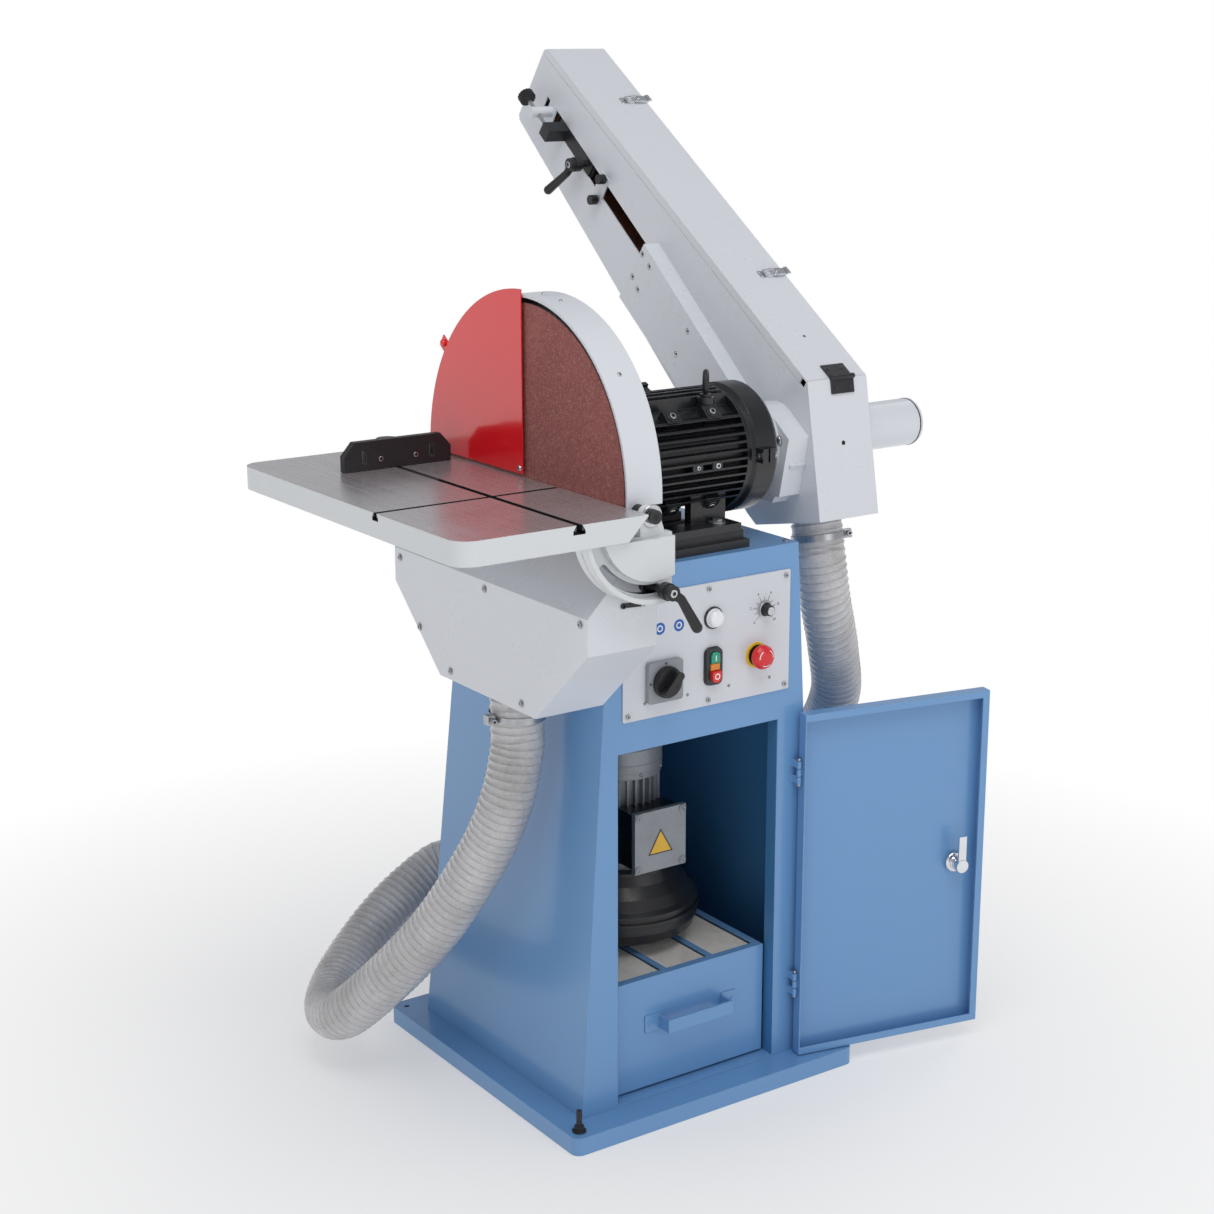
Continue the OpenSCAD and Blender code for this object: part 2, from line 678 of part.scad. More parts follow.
module arm_housing() color(pale_grey) in_arm() difference() {
  union() {
    difference() {
      along_x(arm_near, arm_far) arm_outline(0);
      arm_inside();
      // room for the lid
      box([arm_near - 1, -4, 112], [arm_far + 1, 900, 130]);
    }
    at_arm_spigot(132) cylinder(r = spigot_r, h = 46);
    // fixed cross bar for the tension screw, and its plate
    translate([0, 810, slot_mid(810)]) rod_x(10, 186, 233.5);
    box([230, 798, slot_mid(810) - 16], [233.4, 822, slot_mid(810) + 16]);
  }
  at_arm_spigot(100) cylinder(r = spigot_bore, h = 90);
  // tension slot in the near side, left closed at the cross bar
  along_x(arm_near - 1, arm_near + 3) difference() {
    slot_piece(449, 835, 13.5);
    translate([797, 0]) square([26, 100]);
  }
  // shaft holes in both sides
  rod_x(34, arm_near - 1, arm_near + 4);
  rod_x(24, arm_far - 4, arm_far + 1);
  // through hole for the tension screw
  along_slot(tension_x) rod_y(4.3, 30, 90);
}

module arm_lid() color([0.86, 0.88, 0.91]) in_arm() difference() {
  intersection() {
    along_x(arm_near, arm_far) arm_outline(0);
    box([arm_near, -3.6, 112.6], [arm_far, 900, 127]);
  }
  arm_inside();
  box([arm_near - 1, -5, 110], [arm_far + 1, 8, 123.9]);
}

module lid_hinge() color(rubber) in_arm() translate([0, -6, 130]) {
  rod_x(3.6, 276, 324);
  rotate([45.65, 0, 0]) box([277, -26, -2.7], [323, 0, -0.3]);
}

module shaft_guard() color(pale_grey) on_axis() difference() {
  union() {
    rod_x(38.9, arm_far + 0.1, 513);
    rod_x(50, arm_far + 0.1, arm_far + 3);
  }
  rod_x(36.4, arm_far - 1, 508);
}

// holes through the bracket's beam, [y, z] in the arm's frame
beam_holes = [[418, 40], [391, 35.5], [419, -9], [395, -17], [247, 17], [250, -35]];
module arm_bracket() color(pale_grey) in_arm() difference() {
  union() {
    // box-section beam along the housing
    along_x(200, arm_near - 0.05) polygon([[424, 57], [430, -62], [250, -74], [-20, -92],
      [-80, -60], [-80, 20], [0, 10], [150, 28]]);
    rod_x(62, 172, arm_near - 0.05);
    rod_x(56, 159, 173);
    // clamp ear at the lower end
    along_x(190, arm_near - 0.05)
      polygon([[-60, 60], [-20, 62], [20, 60], [-60, -60], [-96, -30]]);
  }
  // hollow of the beam
  along_x(204, arm_near + 1) polygon([[419, 51], [424, -55], [250, -67], [110, -75],
    [110, 17], [150, 22]]);
  rod_x(24, 150, arm_near + 2);
  for (p = beam_holes) translate([0, p[0], p[1]]) rod_x(5.2, 198, 206);
  translate([0, -43, 42]) rod_x(6, 180, arm_near + 1);
}

// loop around drum and idler, standing off by gap; the straight runs touch both circles
module belt_loop(gap) {
  big = drum_r + gap;
  small = idler_r + gap;
  taper = asin((drum_r - idler_r) / norm(idler));
  run = atan2(idler[1], idler[0]);
  upper = [cos(run + 90 - taper), sin(run + 90 - taper)];
  lower = [cos(run - 90 + taper), sin(run - 90 + taper)];
  circle(big);
  translate(idler) circle(small);
  polygon([big * upper, idler + small * upper, idler + small * lower, big * lower]);
}

module sanding_belt() color([0.45, 0.27, 0.22]) in_arm()
  along_x(arm_mid - belt_w / 2, arm_mid + belt_w / 2) difference() {
    belt_loop(1.3);
    belt_loop(0.06);
  }

module drive_drum() color([0.16, 0.16, 0.17]) on_axis() difference() {
  union() {
    // rim, web and hub
    difference() {
      rod_x(drum_r, arm_mid - 51, arm_mid + 51);
      rod_x(drum_r - 12, arm_mid - 52, arm_mid + 52);
    }
    rod_x(drum_r - 11, arm_mid - 6, arm_mid + 6);
    rod_x(30, arm_mid - 40, arm_mid + 40);
  }
  rod_x(shaft_r, arm_mid - 60, arm_mid + 60);
}

module belt_platen() color([0.6, 0.61, 0.63]) in_arm() {
  // flat plate under the top run, with a web and three feet to the far side sheet
  box([arm_near + 8, 118, drum_r - 12], [arm_far - 8, 690, drum_r - 3.4]);
  box([arm_far - 14, 118, 30], [arm_far - 8.5, 690, drum_r - 11]);
  for (y = [150, 400, 650]) box([arm_far - 9, y, 34], [arm_far - arm_sheet, y + 24, 60]);
}

module slot_bridge() color([0.86, 0.87, 0.88]) in_arm() {
  box([arm_near - 3, 596, slot_mid(610) - 26], [arm_near - 0.02, 624, slot_mid(610) + 26]);
  color(soft_black) for (s = [-1, 1]) translate([0, 605, slot_mid(610) + s * 22]) {
    rod_x(3, arm_near - 8, arm_near - 2.9);
    rod_x(8.5, arm_near - 20, arm_near - 7);
  }
}

// slides along the slot and carries the idler
module idler_carriage() color([0.14, 0.14, 0.15]) in_arm() along_slot() difference() {
  union() {
    box([arm_near + 4.2, -108, -12], [arm_near + 9.6, 24, 12]);
    box([arm_near - 0.4, -104, -12.6], [arm_near + 4.4, 20, 12.6]);
    // block standing out of the slot, with the idler's axle behind it
    box([188, -12, -12], [arm_near + 2, 12, 12]);
    rod_x(10, arm_near + 8, arm_far - 6);
    // stud of the clamp lever
    translate([0, -86, 0]) rod_x(5.9, arm_near - 30, arm_near + 6);
  }
  translate([tension_x, 0, 0]) rod_y(4.06, 4, 13);
}

module idler_drum() color(cast_grey) in_arm() translate([0, idler[0], idler[1]]) difference() {
  rod_x(idler_r, arm_mid - 48, arm_mid + 51);
  rod_x(10.05, arm_mid - 60, arm_mid + 60);
  // recess in the far end, around the hub
  difference() {
    rod_x(idler_r - 7, arm_mid + 8, arm_mid + 60);
    rod_x(18, arm_mid, arm_mid + 61);
  }
}

module tension_screw() color(dark_steel) in_arm() along_slot(tension_x) {
  rod_y(4, 5, 90);
  difference() {
    rod_y(15, 88, 100);
    for (i = [0 : 15]) rotate([0, i * 22.5, 0]) translate([15.6, 0, 0]) rod_y(1.6, 87, 101);
  }
}

module carriage_lever() color(black) in_arm()
  translate([arm_near - 13, idler[0] - 86 * cos(slot_slope), idler[1] - 86 * sin(slot_slope)])
    rotate([0, 0, -90]) rotate([0, 48, 0]) lever(70);

// toggle latch: pivot barrel along Y at the origin, lever towards +X
module latch() difference() {
  union() {
    rotate([-90, 0, 0]) translate([0, 0, -9]) cylinder(r = 2.6, h = 18);
    box([0, -8, -1], [26, 8, 1.2]);
    box([24, -8, 0.8], [31, 8, 3.4]);
  }
  translate([0, -20, 0]) rod_y(1.3, -2, 42);
}
module latch_at(y) color([0.8, 0.81, 0.83]) in_arm() translate([arm_far - 24, y, 129.6]) latch();

module latch_upper() latch_at(723);

module latch_lower() latch_at(248);

// ---------- hoses and clamps ----------
// Catmull-Rom curve from b to c
function curve(a, b, c, d, t) = 0.5 * (2 * b + (c - a) * t
  + (2 * a - 5 * b + 4 * c - d) * t * t + (3 * b - a - 3 * c + d) * t * t * t);
// smooth path through the points, n steps between each pair
function smooth(pts, n) = let (last = len(pts) - 1) [
  for (i = [0 : last - 1], k = [0 : n - 1])
    curve(i > 0 ? pts[i - 1] : 2 * pts[0] - pts[1], pts[i], pts[i + 1],
      i < last - 1 ? pts[i + 2] : 2 * pts[last] - pts[last - 1], k / n),
  pts[last]];
function unit(v) = v / norm(v);
function tangent(path, i) = unit(path[min(i + 1, len(path) - 1)] - path[max(i - 1, 0)]);
// normal carried along the path without twisting
function normal(path, i) = i == 0 ? unit(cross(tangent(path, 0), [0.3, 1, 0.2]))
  : let (prev = normal(path, i - 1), dir = tangent(path, i)) unit(prev - dir * (dir * prev));
// two triangles of a four-sided face
function quad(a, b, c, d) = [[a, b, c], [a, c, d]];
module sweep_tube(path, outer, inner, sides) {
  count = len(path);
  pts = [for (r = [outer, inner], i = [0 : count - 1], j = [0 : sides - 1])
    let (u = normal(path, i), v = cross(tangent(path, i), u))
    path[i] + r * (cos(j * 360 / sides) * u + sin(j * 360 / sides) * v)];
  // point number: skin 0 outer or 1 inner, ring i, corner j
  function id(skin, i, j) = skin * count * sides + i * sides + (j % sides);
  end = count - 1;
  polyhedron(pts, [
    for (i = [0 : end - 1], j = [0 : sides - 1])
      each quad(id(0, i, j), id(0, i, j + 1), id(0, i + 1, j + 1), id(0, i + 1, j)),
    for (i = [0 : end - 1], j = [0 : sides - 1])
      each quad(id(1, i, j), id(1, i + 1, j), id(1, i + 1, j + 1), id(1, i, j + 1)),
    for (j = [0 : sides - 1])
      each quad(id(0, 0, j), id(1, 0, j), id(1, 0, j + 1), id(0, 0, j + 1)),
    for (j = [0 : sides - 1])
      each quad(id(0, end, j), id(0, end, j + 1), id(1, end, j + 1), id(1, end, j))]);
}
module hose(pts) color(hose_grey) sweep_tube(smooth(pts, 2), hose_r, hose_r - 3, 16);

// centre lines, [x, y, z], from the machine to the cabinet's rear spigots
disc_hose_line = [
  [disc_spigot_x, axis_y, 689], [disc_spigot_x, axis_y, 636], [-263, axis_y, 606],
  [-277, -106, 530], [-300, -74, 434], [-352, -10, 300], [-405, 70, 190], [-437, 150, 112],
  [-422, 235, 88], [-356, 305, 112], [-250, 345, 178], [-150, 345, 236],
  [-hose_x, 305, hose_z], [-hose_x, 268, hose_z], [-hose_x, 238, hose_z]];
// point on the line of the arm's spigot, out from the motor axis
function spigot_point(out) = let (turn = arm_angle + spigot_turn) [arm_mid,
  axis_y - out * sin(turn) + spigot_shift * cos(turn),
  axis_z + out * cos(turn) + spigot_shift * sin(turn)];
belt_hose_line = [
  spigot_point(142), spigot_point(181), spigot_point(205), [303, -160, 762],
  [340, -140, 668], [386, -92, 566], [402, 0, 450], [372, 130, 350], [300, 250, 285],
  [200, 335, 254], [hose_x + 14, 330, hose_z], [hose_x, 290, hose_z],
  [hose_x, 262, hose_z], [hose_x, 238, hose_z]];

module disc_hose() hose(disc_hose_line);

module belt_hose() hose(belt_hose_line);

module clamp_ring(r) difference() {
  union() {
    cylinder(r = r + 1.4, h = 11);
    translate([r - 2, -7, -2]) cube([15, 14, 15]);
  }
  translate([0, 0, -5]) cylinder(r = r, h = 30);
}
module hose_clamps() color([0.75, 0.76, 0.78]) {
  translate([disc_spigot_x, axis_y, 655]) rotate([0, 0, 180]) clamp_ring(hose_r + 0.05);
  at_rear_spigots(243) rotate([-90, 0, 0]) rotate([0, 0, 90]) clamp_ring(hose_r + 0.05);
}

// ---------- dust extractor in the cabinet ----------
fan_x = -15;
fan_y = -35;
duct_x = hose_x * 0.55; // half spacing of the inlet ducts
module at_fan(z) { translate([fan_x, fan_y, z]) children(); }

module fan_motor() color(steel) at_fan(0) difference() {
  union() {
    translate([0, 0, 352]) cylinder(r = 70, h = 12);
    // finned body
    translate([0, 0, 362]) linear_extrude(142) {
      circle(52);
      for (i = [0 : 27]) rotate(i * 360 / 28) translate([48, -1.3]) square([14, 2.6]);
    }
    translate([0, 0, 503]) cylinder(r = 64, h = 12);
    translate([0, 0, 514]) rotate_extrude()
      polygon([[0, 0], [66, 0], [66, 36], [60, 47], [50, 50], [0, 50]]);
    // terminal box with its lid, screws and gland
    box([-44, -98, 366], [48, -50, 458]);
    box([-48, -106, 361], [52, -97, 463]);
    for (x = [-41, 45], z = [368, 456]) translate([x, 0, z]) rod_y(4.5, -108.5, -100);
    translate([0, -74, 410]) rod_x(8, 47, 66);
  }
  translate([0, 0, -1]) cylinder(r = 300, h = 353.7);
  translate([0, 0, 350]) cylinder(r = 9, h = 60);
}

// turned casing, [radius, height]: the shell, then the space cut inside it
casing_shell = [
  [60, 0], [104, 0], [118, 8], [124, 24], [124, 38], [127, 38], [127, 44], [123, 44],
  [123, 50], [126, 50], [126, 56], [118, 62], [108, 78], [94, 96], [88, 112], [88, 116.5],
  [12, 116.5], [12, 112], [84, 112], [90, 95], [104, 76], [114, 60], [120, 48], [120, 26],
  [114, 11], [102, 4], [60, 4]];
casing_space = [
  [0, 0], [101, 0], [113, 8], [119, 24], [119, 42], [113, 54], [103, 71], [90, 90],
  [83, 107], [0, 107]];
module fan_housing() color([0.06, 0.06, 0.07]) difference() {
  union() {
    at_fan(236) rotate_extrude() polygon(casing_shell);
    // ducts towards the rear, and the plate across them
    for (s = [-1, 1]) translate([s * duct_x, 0, 300]) rod_y(30, 40, 196);
    box([fan_x - 100, 190, 262], [fan_x + 130, 197, 338]);
  }
  for (s = [-1, 1]) translate([s * duct_x, 0, 300]) rod_y(27, 40, 200);
  at_fan(240) rotate_extrude() polygon(casing_space);
}

module impeller() color(cast_grey) at_fan(0) {
  translate([0, 0, 262]) cylinder(r = 96, h = 3);
  for (i = [0 : 7]) rotate([0, 0, i * 45]) box([30, -1.5, 264.5], [92, 1.5, 294]);
  translate([0, 0, 262]) cylinder(r = 22, h = 40);
  translate([0, 0, 262]) cylinder(r = 8.9, h = 140);
}

// ---------- drawer ----------
drawer_x0 = -150;
drawer_x1 = 138;
drawer_y0 = -218;
drawer_y1 = 120;
drawer_z0 = 36;
drawer_z1 = 222;
// X spans of the three windows in the drawer's top
windows = [for (i = [0 : 2]) let (x = drawer_x0 + 12 + i * 91.5) [x, x + 81]];

// angle rails, open towards the drawer
module drawer_rails() color([0.38, 0.53, 0.7])
  for (x = [drawer_x0 - 4, drawer_x1 - 30]) difference() {
    box([x, -208, 31.5], [x + 34, 140, 46]);
    if (x < 0) box([x + 3.4, -210, 35.8], [x + 40, 142, 50]);
    else box([x - 5, -210, 35.8], [x + 30.6, 142, 50]);
  }

module drawer_box() color(blue) difference() {
  box([drawer_x0, drawer_y0, drawer_z0], [drawer_x1, drawer_y1, drawer_z1]);
  box([drawer_x0 + 2, drawer_y0 + 2, drawer_z0 + 2],
    [drawer_x1 - 2, drawer_y1 - 2, drawer_z1 - 2.5]);
  for (w = windows)
    box([w[0], drawer_y0 + 14, drawer_z1 - 5], [w[1], drawer_y1 - 14, drawer_z1 + 1]);
}

module drawer_handle() color([0.45, 0.6, 0.78]) {
  for (s = [-1, 1]) {
    pad_x = -9 + s * 76;
    leg_x = -9 + s * 62;
    box([pad_x - 14, drawer_y0 - 2.2, 130], [pad_x + 14, drawer_y0 - 0.02, 158]);
    box([leg_x - 2, drawer_y0 - 30, 133], [leg_x + 2, drawer_y0 - 1, 155]);
  }
  box([-73, drawer_y0 - 30, 133], [55, drawer_y0 - 26, 155]);
}

module filter_cloths() color([0.93, 0.92, 0.88]) for (w = windows)
  box([w[0] + 1, drawer_y0 + 15, drawer_z1 - 8.6], [w[1] - 1, drawer_y1 - 15, drawer_z1 - 2.6]);

// ---------- door ----------
door_x1 = hinge_x - 4.5;
door_x0 = door_x1 - door_w;
lock_x = door_x0 + 46;
lock_z = 320;
// drawn closed, then swung to its open rest position
module at_door() {
  translate([hinge_x, hinge_y, 0]) rotate([0, 0, door_open]) translate([-hinge_x, -hinge_y, 0])
    children();
}

module door_panel() color(blue) at_door() difference() {
  union() {
    box([door_x0, -264, 31], [door_x1, -262, 617]);
    // folded rim
    for (x = [door_x0, door_x1 - 2]) box([x, -264, 31], [x + 2, -243, 617]);
    for (z = [31, 615]) box([door_x0, -264, z], [door_x1, -243, z + 2]);
    // inner lips of the rim
    box([door_x0, -245, 31], [door_x0 + 12, -243, 617]);
    for (z = [31, 605]) box([door_x0, -245, z], [door_x1, -243, z + 12]);
    // knuckles, between the cabinet's
    for (foot = hinge_zs) {
      z = foot + 13.2;
      translate([hinge_x, hinge_y, z]) cylinder(r = 4.2, h = 11.6);
      box([door_x1 - 2, hinge_y - 2, z], [hinge_x - 1, hinge_y + 2, z + 11.6]);
    }
  }
  for (z = hinge_zs) translate([hinge_x, hinge_y, z + 12]) cylinder(r = pin_bore, h = 14);
  translate([lock_x, 0, lock_z]) rod_y(9.1, -270, -255);
}

module door_lock() color([0.78, 0.79, 0.81]) at_door() translate([lock_x, 0, lock_z]) {
  rods_y([[9, -266, -233], [14, -268.4, -264.1], [15, -261.9, -256], [11, -240, -231]]);
  // cam
  box([-7, -236, -8], [7, -232.6, 52]);
}

base_tray();
levelling_feet();
cabinet();
door_hinge_pins();
control_panel();
case_screws();
control_bezels();
pilot_lamp();
motor_frame();
motor_shields();
motor_bearings();
eyebolt();
terminal_box();
motor_rail();
disc_guard();
red_guard();
disc_housing();
tilt_studs();
hose_clamps();
disc_hose();
belt_hose();
fan_motor();
fan_housing();
drawer_rails();
motor_shaft();
disc_plate();
abrasive_disc();
drive_drum();
arm_bracket();
arm_housing();
shaft_guard();
belt_platen();
sanding_belt();
slot_bridge();
lid_hinge();
arm_lid();
latch_upper();
latch_lower();
idler_carriage();
idler_drum();
tension_screw();
carriage_lever();
table_top();
table_trunnions();
tilt_lever_front();
tilt_lever_rear();
mitre_bar();
mitre_head();
mitre_knob();
door_panel();
door_lock();
drawer_box();
drawer_handle();
filter_cloths();
estop_button();
start_button();
stop_button();
speed_knob();
main_switch_knob();
impeller();
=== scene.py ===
import math

import bmesh
import bpy
import numpy as np
from mathutils import Matrix, Vector, noise

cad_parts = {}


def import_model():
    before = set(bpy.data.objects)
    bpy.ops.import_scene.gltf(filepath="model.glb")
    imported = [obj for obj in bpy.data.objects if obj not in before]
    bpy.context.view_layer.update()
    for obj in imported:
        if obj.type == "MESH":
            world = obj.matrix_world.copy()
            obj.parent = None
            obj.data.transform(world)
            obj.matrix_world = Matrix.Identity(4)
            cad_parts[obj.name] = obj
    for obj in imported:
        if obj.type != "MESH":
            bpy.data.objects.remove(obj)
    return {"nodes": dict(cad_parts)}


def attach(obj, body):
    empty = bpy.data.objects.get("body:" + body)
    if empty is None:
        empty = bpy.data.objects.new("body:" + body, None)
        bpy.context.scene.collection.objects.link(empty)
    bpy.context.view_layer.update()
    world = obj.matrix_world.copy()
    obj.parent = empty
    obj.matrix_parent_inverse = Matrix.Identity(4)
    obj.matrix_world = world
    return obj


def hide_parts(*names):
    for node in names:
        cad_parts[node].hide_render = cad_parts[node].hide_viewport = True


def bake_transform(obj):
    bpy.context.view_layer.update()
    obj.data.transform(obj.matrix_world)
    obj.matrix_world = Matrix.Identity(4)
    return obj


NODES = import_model()["nodes"]


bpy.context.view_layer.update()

# ------------------------------------------------------------------ driving places, mm
MM = 0.001
MOTOR_Y, MOTOR_Z = -112.2, 1030.0
ARM_TILT = math.radians(34.35)
ARM_LEFT, ARM_RIGHT = 231.0, 352.0
LID_TOP = 126.4                  # square to the arm, above the motor axis
PANEL_Y = -241.4                 # face of the control panel
HINGE_X, HINGE_Y = 176.5, -254.0
DOOR_OPEN = math.radians(168.5)
LOCK_X, LOCK_Z = HINGE_X - 298.5, 320.0   # with the door shut
CARRIAGE_SLOT_TILT = math.radians(3.9)
TABLE_Z = 1024.1
PIVOT_X, PIVOT_Z = -226.0, 1016.0         # tilting axis of the table, along Y
MITRE_X, MITRE_Y = -358.4, 96.0

LEFT, RIGHT = (-1, 0, 0), (1, 0, 0)
FRONT, BACK, UP = (0, -1, 0), (0, 1, 0), (0, 0, 1)
CORNERS = (45, 135, 225, 315)    # degrees round the motor


def rotated(x, y, angle):
    c, s = math.cos(angle), math.sin(angle)
    return x * c - y * s, x * s + y * c


def arm_dir(x, along, above):
    return Vector((x, *rotated(along, above, ARM_TILT)))


def arm_point(x, along, above):
    y, z = rotated(along, above, ARM_TILT)
    return Vector((x, MOTOR_Y + y, MOTOR_Z + z))


def door_point(x, y, z):
    """Where a point of the shut door lies with the door open."""
    dx, dy = rotated(x - HINGE_X, y - HINGE_Y, DOOR_OPEN)
    return Vector((HINGE_X + dx, HINGE_Y + dy, z))


def panel_point(x, z, proud=0.0):
    return Vector((x, PANEL_Y - proud, z))


def radial(degrees, radius, x):
    """A point round the motor axis and the direction outward there."""
    angle = math.radians(degrees)
    y, z = math.cos(angle), math.sin(angle)
    return Vector((x, MOTOR_Y + radius * y, MOTOR_Z + radius * z)), Vector((0, y, z))


def axes(pos, zdir, xdir=None):
    """Frame at pos whose Z points along zdir and whose X lies near xdir."""
    z = Vector(zdir).normalized()
    if xdir is None:
        xdir = RIGHT if abs(z.x) < 0.9 else BACK
    x = Vector(xdir)
    x = (x - z * x.dot(z)).normalized()
    matrix = Matrix((x, z.cross(x), z)).transposed().to_4x4()
    matrix.translation = Vector(pos)
    return matrix


def about_z(angle):
    return Matrix.Rotation(angle, 4, "Z")


def shift(x, y, z=0.0):
    return Matrix.Translation((x, y, z))


# ------------------------------------------------------------------ shader building
def linear(rgb):
    """Linear colour from 0-255 sRGB."""
    out = []
    for c in rgb:
        c = c / 255.0
        out.append(c / 12.92 if c <= 0.04045 else ((c + 0.055) / 1.055) ** 2.4)
    return tuple(out)


def shade(colour, factor):
    return tuple(min(1.0, c * factor) for c in colour)


class Net:
    """A material's node tree: a Principled shader fed from object coordinates."""

    def __init__(self, name):
        self.material = bpy.data.materials.new(name)
        self.material.use_nodes = True
        self.tree = self.material.node_tree
        self.tree.nodes.clear()
        self.out = self.node("ShaderNodeOutputMaterial")
        self.bsdf = self.node("ShaderNodeBsdfPrincipled")
        self.link(self.bsdf.outputs[0], self.out.inputs[0])
        self.co = self.node("ShaderNodeTexCoord").outputs["Object"]

    def node(self, kind, **props):
        node = self.tree.nodes.new(kind)
        for key, value in props.items():
            setattr(node, key, value)
        return node

    def link(self, source, target):
        self.tree.links.new(source, target)

    def put(self, socket, value):
        if isinstance(value, bpy.types.NodeSocket):
            self.link(value, socket)
        else:
            socket.default_value = value

    def look(self, **inputs):
        """Sets Principled inputs; underscores in the keywords stand for spaces."""
        for key, value in inputs.items():
            self.put(self.bsdf.inputs[key.replace("_", " ")], value)
        return self.material

    def math(self, operation, first, second):
        node = self.node("ShaderNodeMath", operation=operation)
        self.put(node.inputs[0], first)
        self.put(node.inputs[1], second)
        return node.outputs[0]

    def scaled(self, scale):
        node = self.node("ShaderNodeMapping")
        self.link(self.co, node.inputs[0])
        node.inputs["Scale"].default_value = scale
        return node.outputs[0]

    def noise(self, scale, detail=3.0, rough=0.5, co=None, distort=0.0):
        node = self.node("ShaderNodeTexNoise")
        self.link(co or self.co, node.inputs["Vector"])
        node.inputs["Scale"].default_value = scale
        node.inputs["Detail"].default_value = detail
        node.inputs["Roughness"].default_value = rough
        node.inputs["Distortion"].default_value = distort
        return node.outputs["Fac"]

    def span(self, value, source=(0.3, 0.7), to=(0.0, 1.0)):
        """Maps the source range onto the range `to`, clamped."""
        node = self.node("ShaderNodeMapRange", clamp=True)
        for i, v in enumerate((value, *source, *to)):
            self.put(node.inputs[i], v)
        return node.outputs[0]

    def mix(self, factor, first, second, blend="MIX"):
        node = self.node("ShaderNodeMix", data_type="RGBA", blend_type=blend)
        self.put(node.inputs[0], factor)
        for i, v in ((6, first), (7, second)):
            self.put(node.inputs[i], (*v, 1.0) if isinstance(v, tuple) else v)
        return node.outputs[2]

    def bump(self, height, distance, strength=1.0, normal=None):
        node = self.node("ShaderNodeBump")
        self.link(height, node.inputs["Height"])
        node.inputs["Distance"].default_value = distance
        node.inputs["Strength"].default_value = strength
        if normal is not None:
            self.link(normal, node.inputs["Normal"])
        return node.outputs[0]

    def bevel(self, radius):
        node = self.node("ShaderNodeBevel", samples=4)
        node.inputs[0].default_value = radius
        return node.outputs[0]


def surface(name, rgb, rough, tone, fine, metal=0.0, rough_var=0.06, peel=(900.0, 0.00003),
            grain=None, edge=None, bevel=0.0006, coat=0.0, stretch=None, subsurface=0.0):
    """A general paint, plastic or metal.

    tone, fine   (noise scale, amount) of broad and small colour variation
    rough_var    how far roughness strays either side of rough
    peel, grain  (noise scale, bump distance in m) of soft and sharp relief
    edge         (sRGB, amount, noise scale) of colour along bevelled edges: wear, and a painted highlight where it is a lighter tint of the paint
    bevel        shaded edge radius in m
    stretch      (coordinate scale, colour amount, bump distance in m) of machining lines
    """
    net = Net(name)
    base = linear(rgb)
    tone_scale, tone_amount = tone
    fine_scale, fine_amount = fine
    broad = net.span(net.noise(tone_scale, detail=4.0))
    small = net.span(net.noise(fine_scale, rough=0.6), (0.35, 0.65))
    colour = net.mix(broad, shade(base, 1 - tone_amount), shade(base, 1 + tone_amount))
    mottle = net.mix(small, (1 - 2.2 * fine_amount,) * 3, (1, 1, 1))
    colour = net.mix(1.0, colour, mottle, blend="MULTIPLY")
    normal = net.bevel(bevel) if bevel else None
    if edge:
        # edge colour: wear, and a painted edge highlight where it is lighter than the base
        edge_rgb, edge_amount, edge_scale = edge
        geometry = net.node("ShaderNodeNewGeometry")
        dot = net.node("ShaderNodeVectorMath", operation="DOT_PRODUCT")
        net.link(normal, dot.inputs[0])
        net.link(geometry.outputs["Normal"], dot.inputs[1])
        rim = net.span(dot.outputs["Value"], (0.86, 0.995), to=(1.0, 0.0))
        edge_wear_and_highlight_noise = net.noise(edge_scale, detail=5.0, rough=0.7)
        wear_and_highlight = net.span(edge_wear_and_highlight_noise, (0.42, 0.62), to=(0.25, 1.0))
        amount = net.math("MULTIPLY", net.math("MULTIPLY", rim, wear_and_highlight), edge_amount)
        colour = net.mix(amount, colour, linear(edge_rgb))
    if stretch:
        line_scale, line_amount, line_bump = stretch
        lines = net.noise(1.0, detail=4.0, rough=0.65, co=net.scaled(line_scale))
        colour = net.mix(net.span(lines, to=(0.0, line_amount)), colour, shade(base, 0.55))
        normal = net.bump(lines, line_bump, 0.6, normal)
    if peel:
        normal = net.bump(net.noise(peel[0], detail=2.0), peel[1], 0.8, normal)
    if grain:
        normal = net.bump(net.noise(grain[0], detail=4.0, rough=0.7), grain[1], 0.9, normal)
    smudge = net.noise(tone_scale * 4.1, detail=5.0, rough=0.6)
    net.look(Base_Color=colour, Metallic=metal, Coat_Weight=coat, Coat_Roughness=0.08,
             Roughness=net.span(smudge, to=(rough - rough_var, rough + rough_var)))
    if subsurface:
        net.look(Subsurface_Weight=subsurface, Subsurface_Radius=(0.003, 0.003, 0.003))
    if normal is not None:
        net.look(Normal=normal)
    return net.material


def ink(name, rgb, rough, tone, fine, scale=900.0, peel=1500.0):
    """Flat print; tone and fine are colour variation amounts."""
    return surface(name, rgb, rough, tone=(60.0, tone), fine=(scale, fine),
                   peel=(peel, 0.00001), bevel=0)


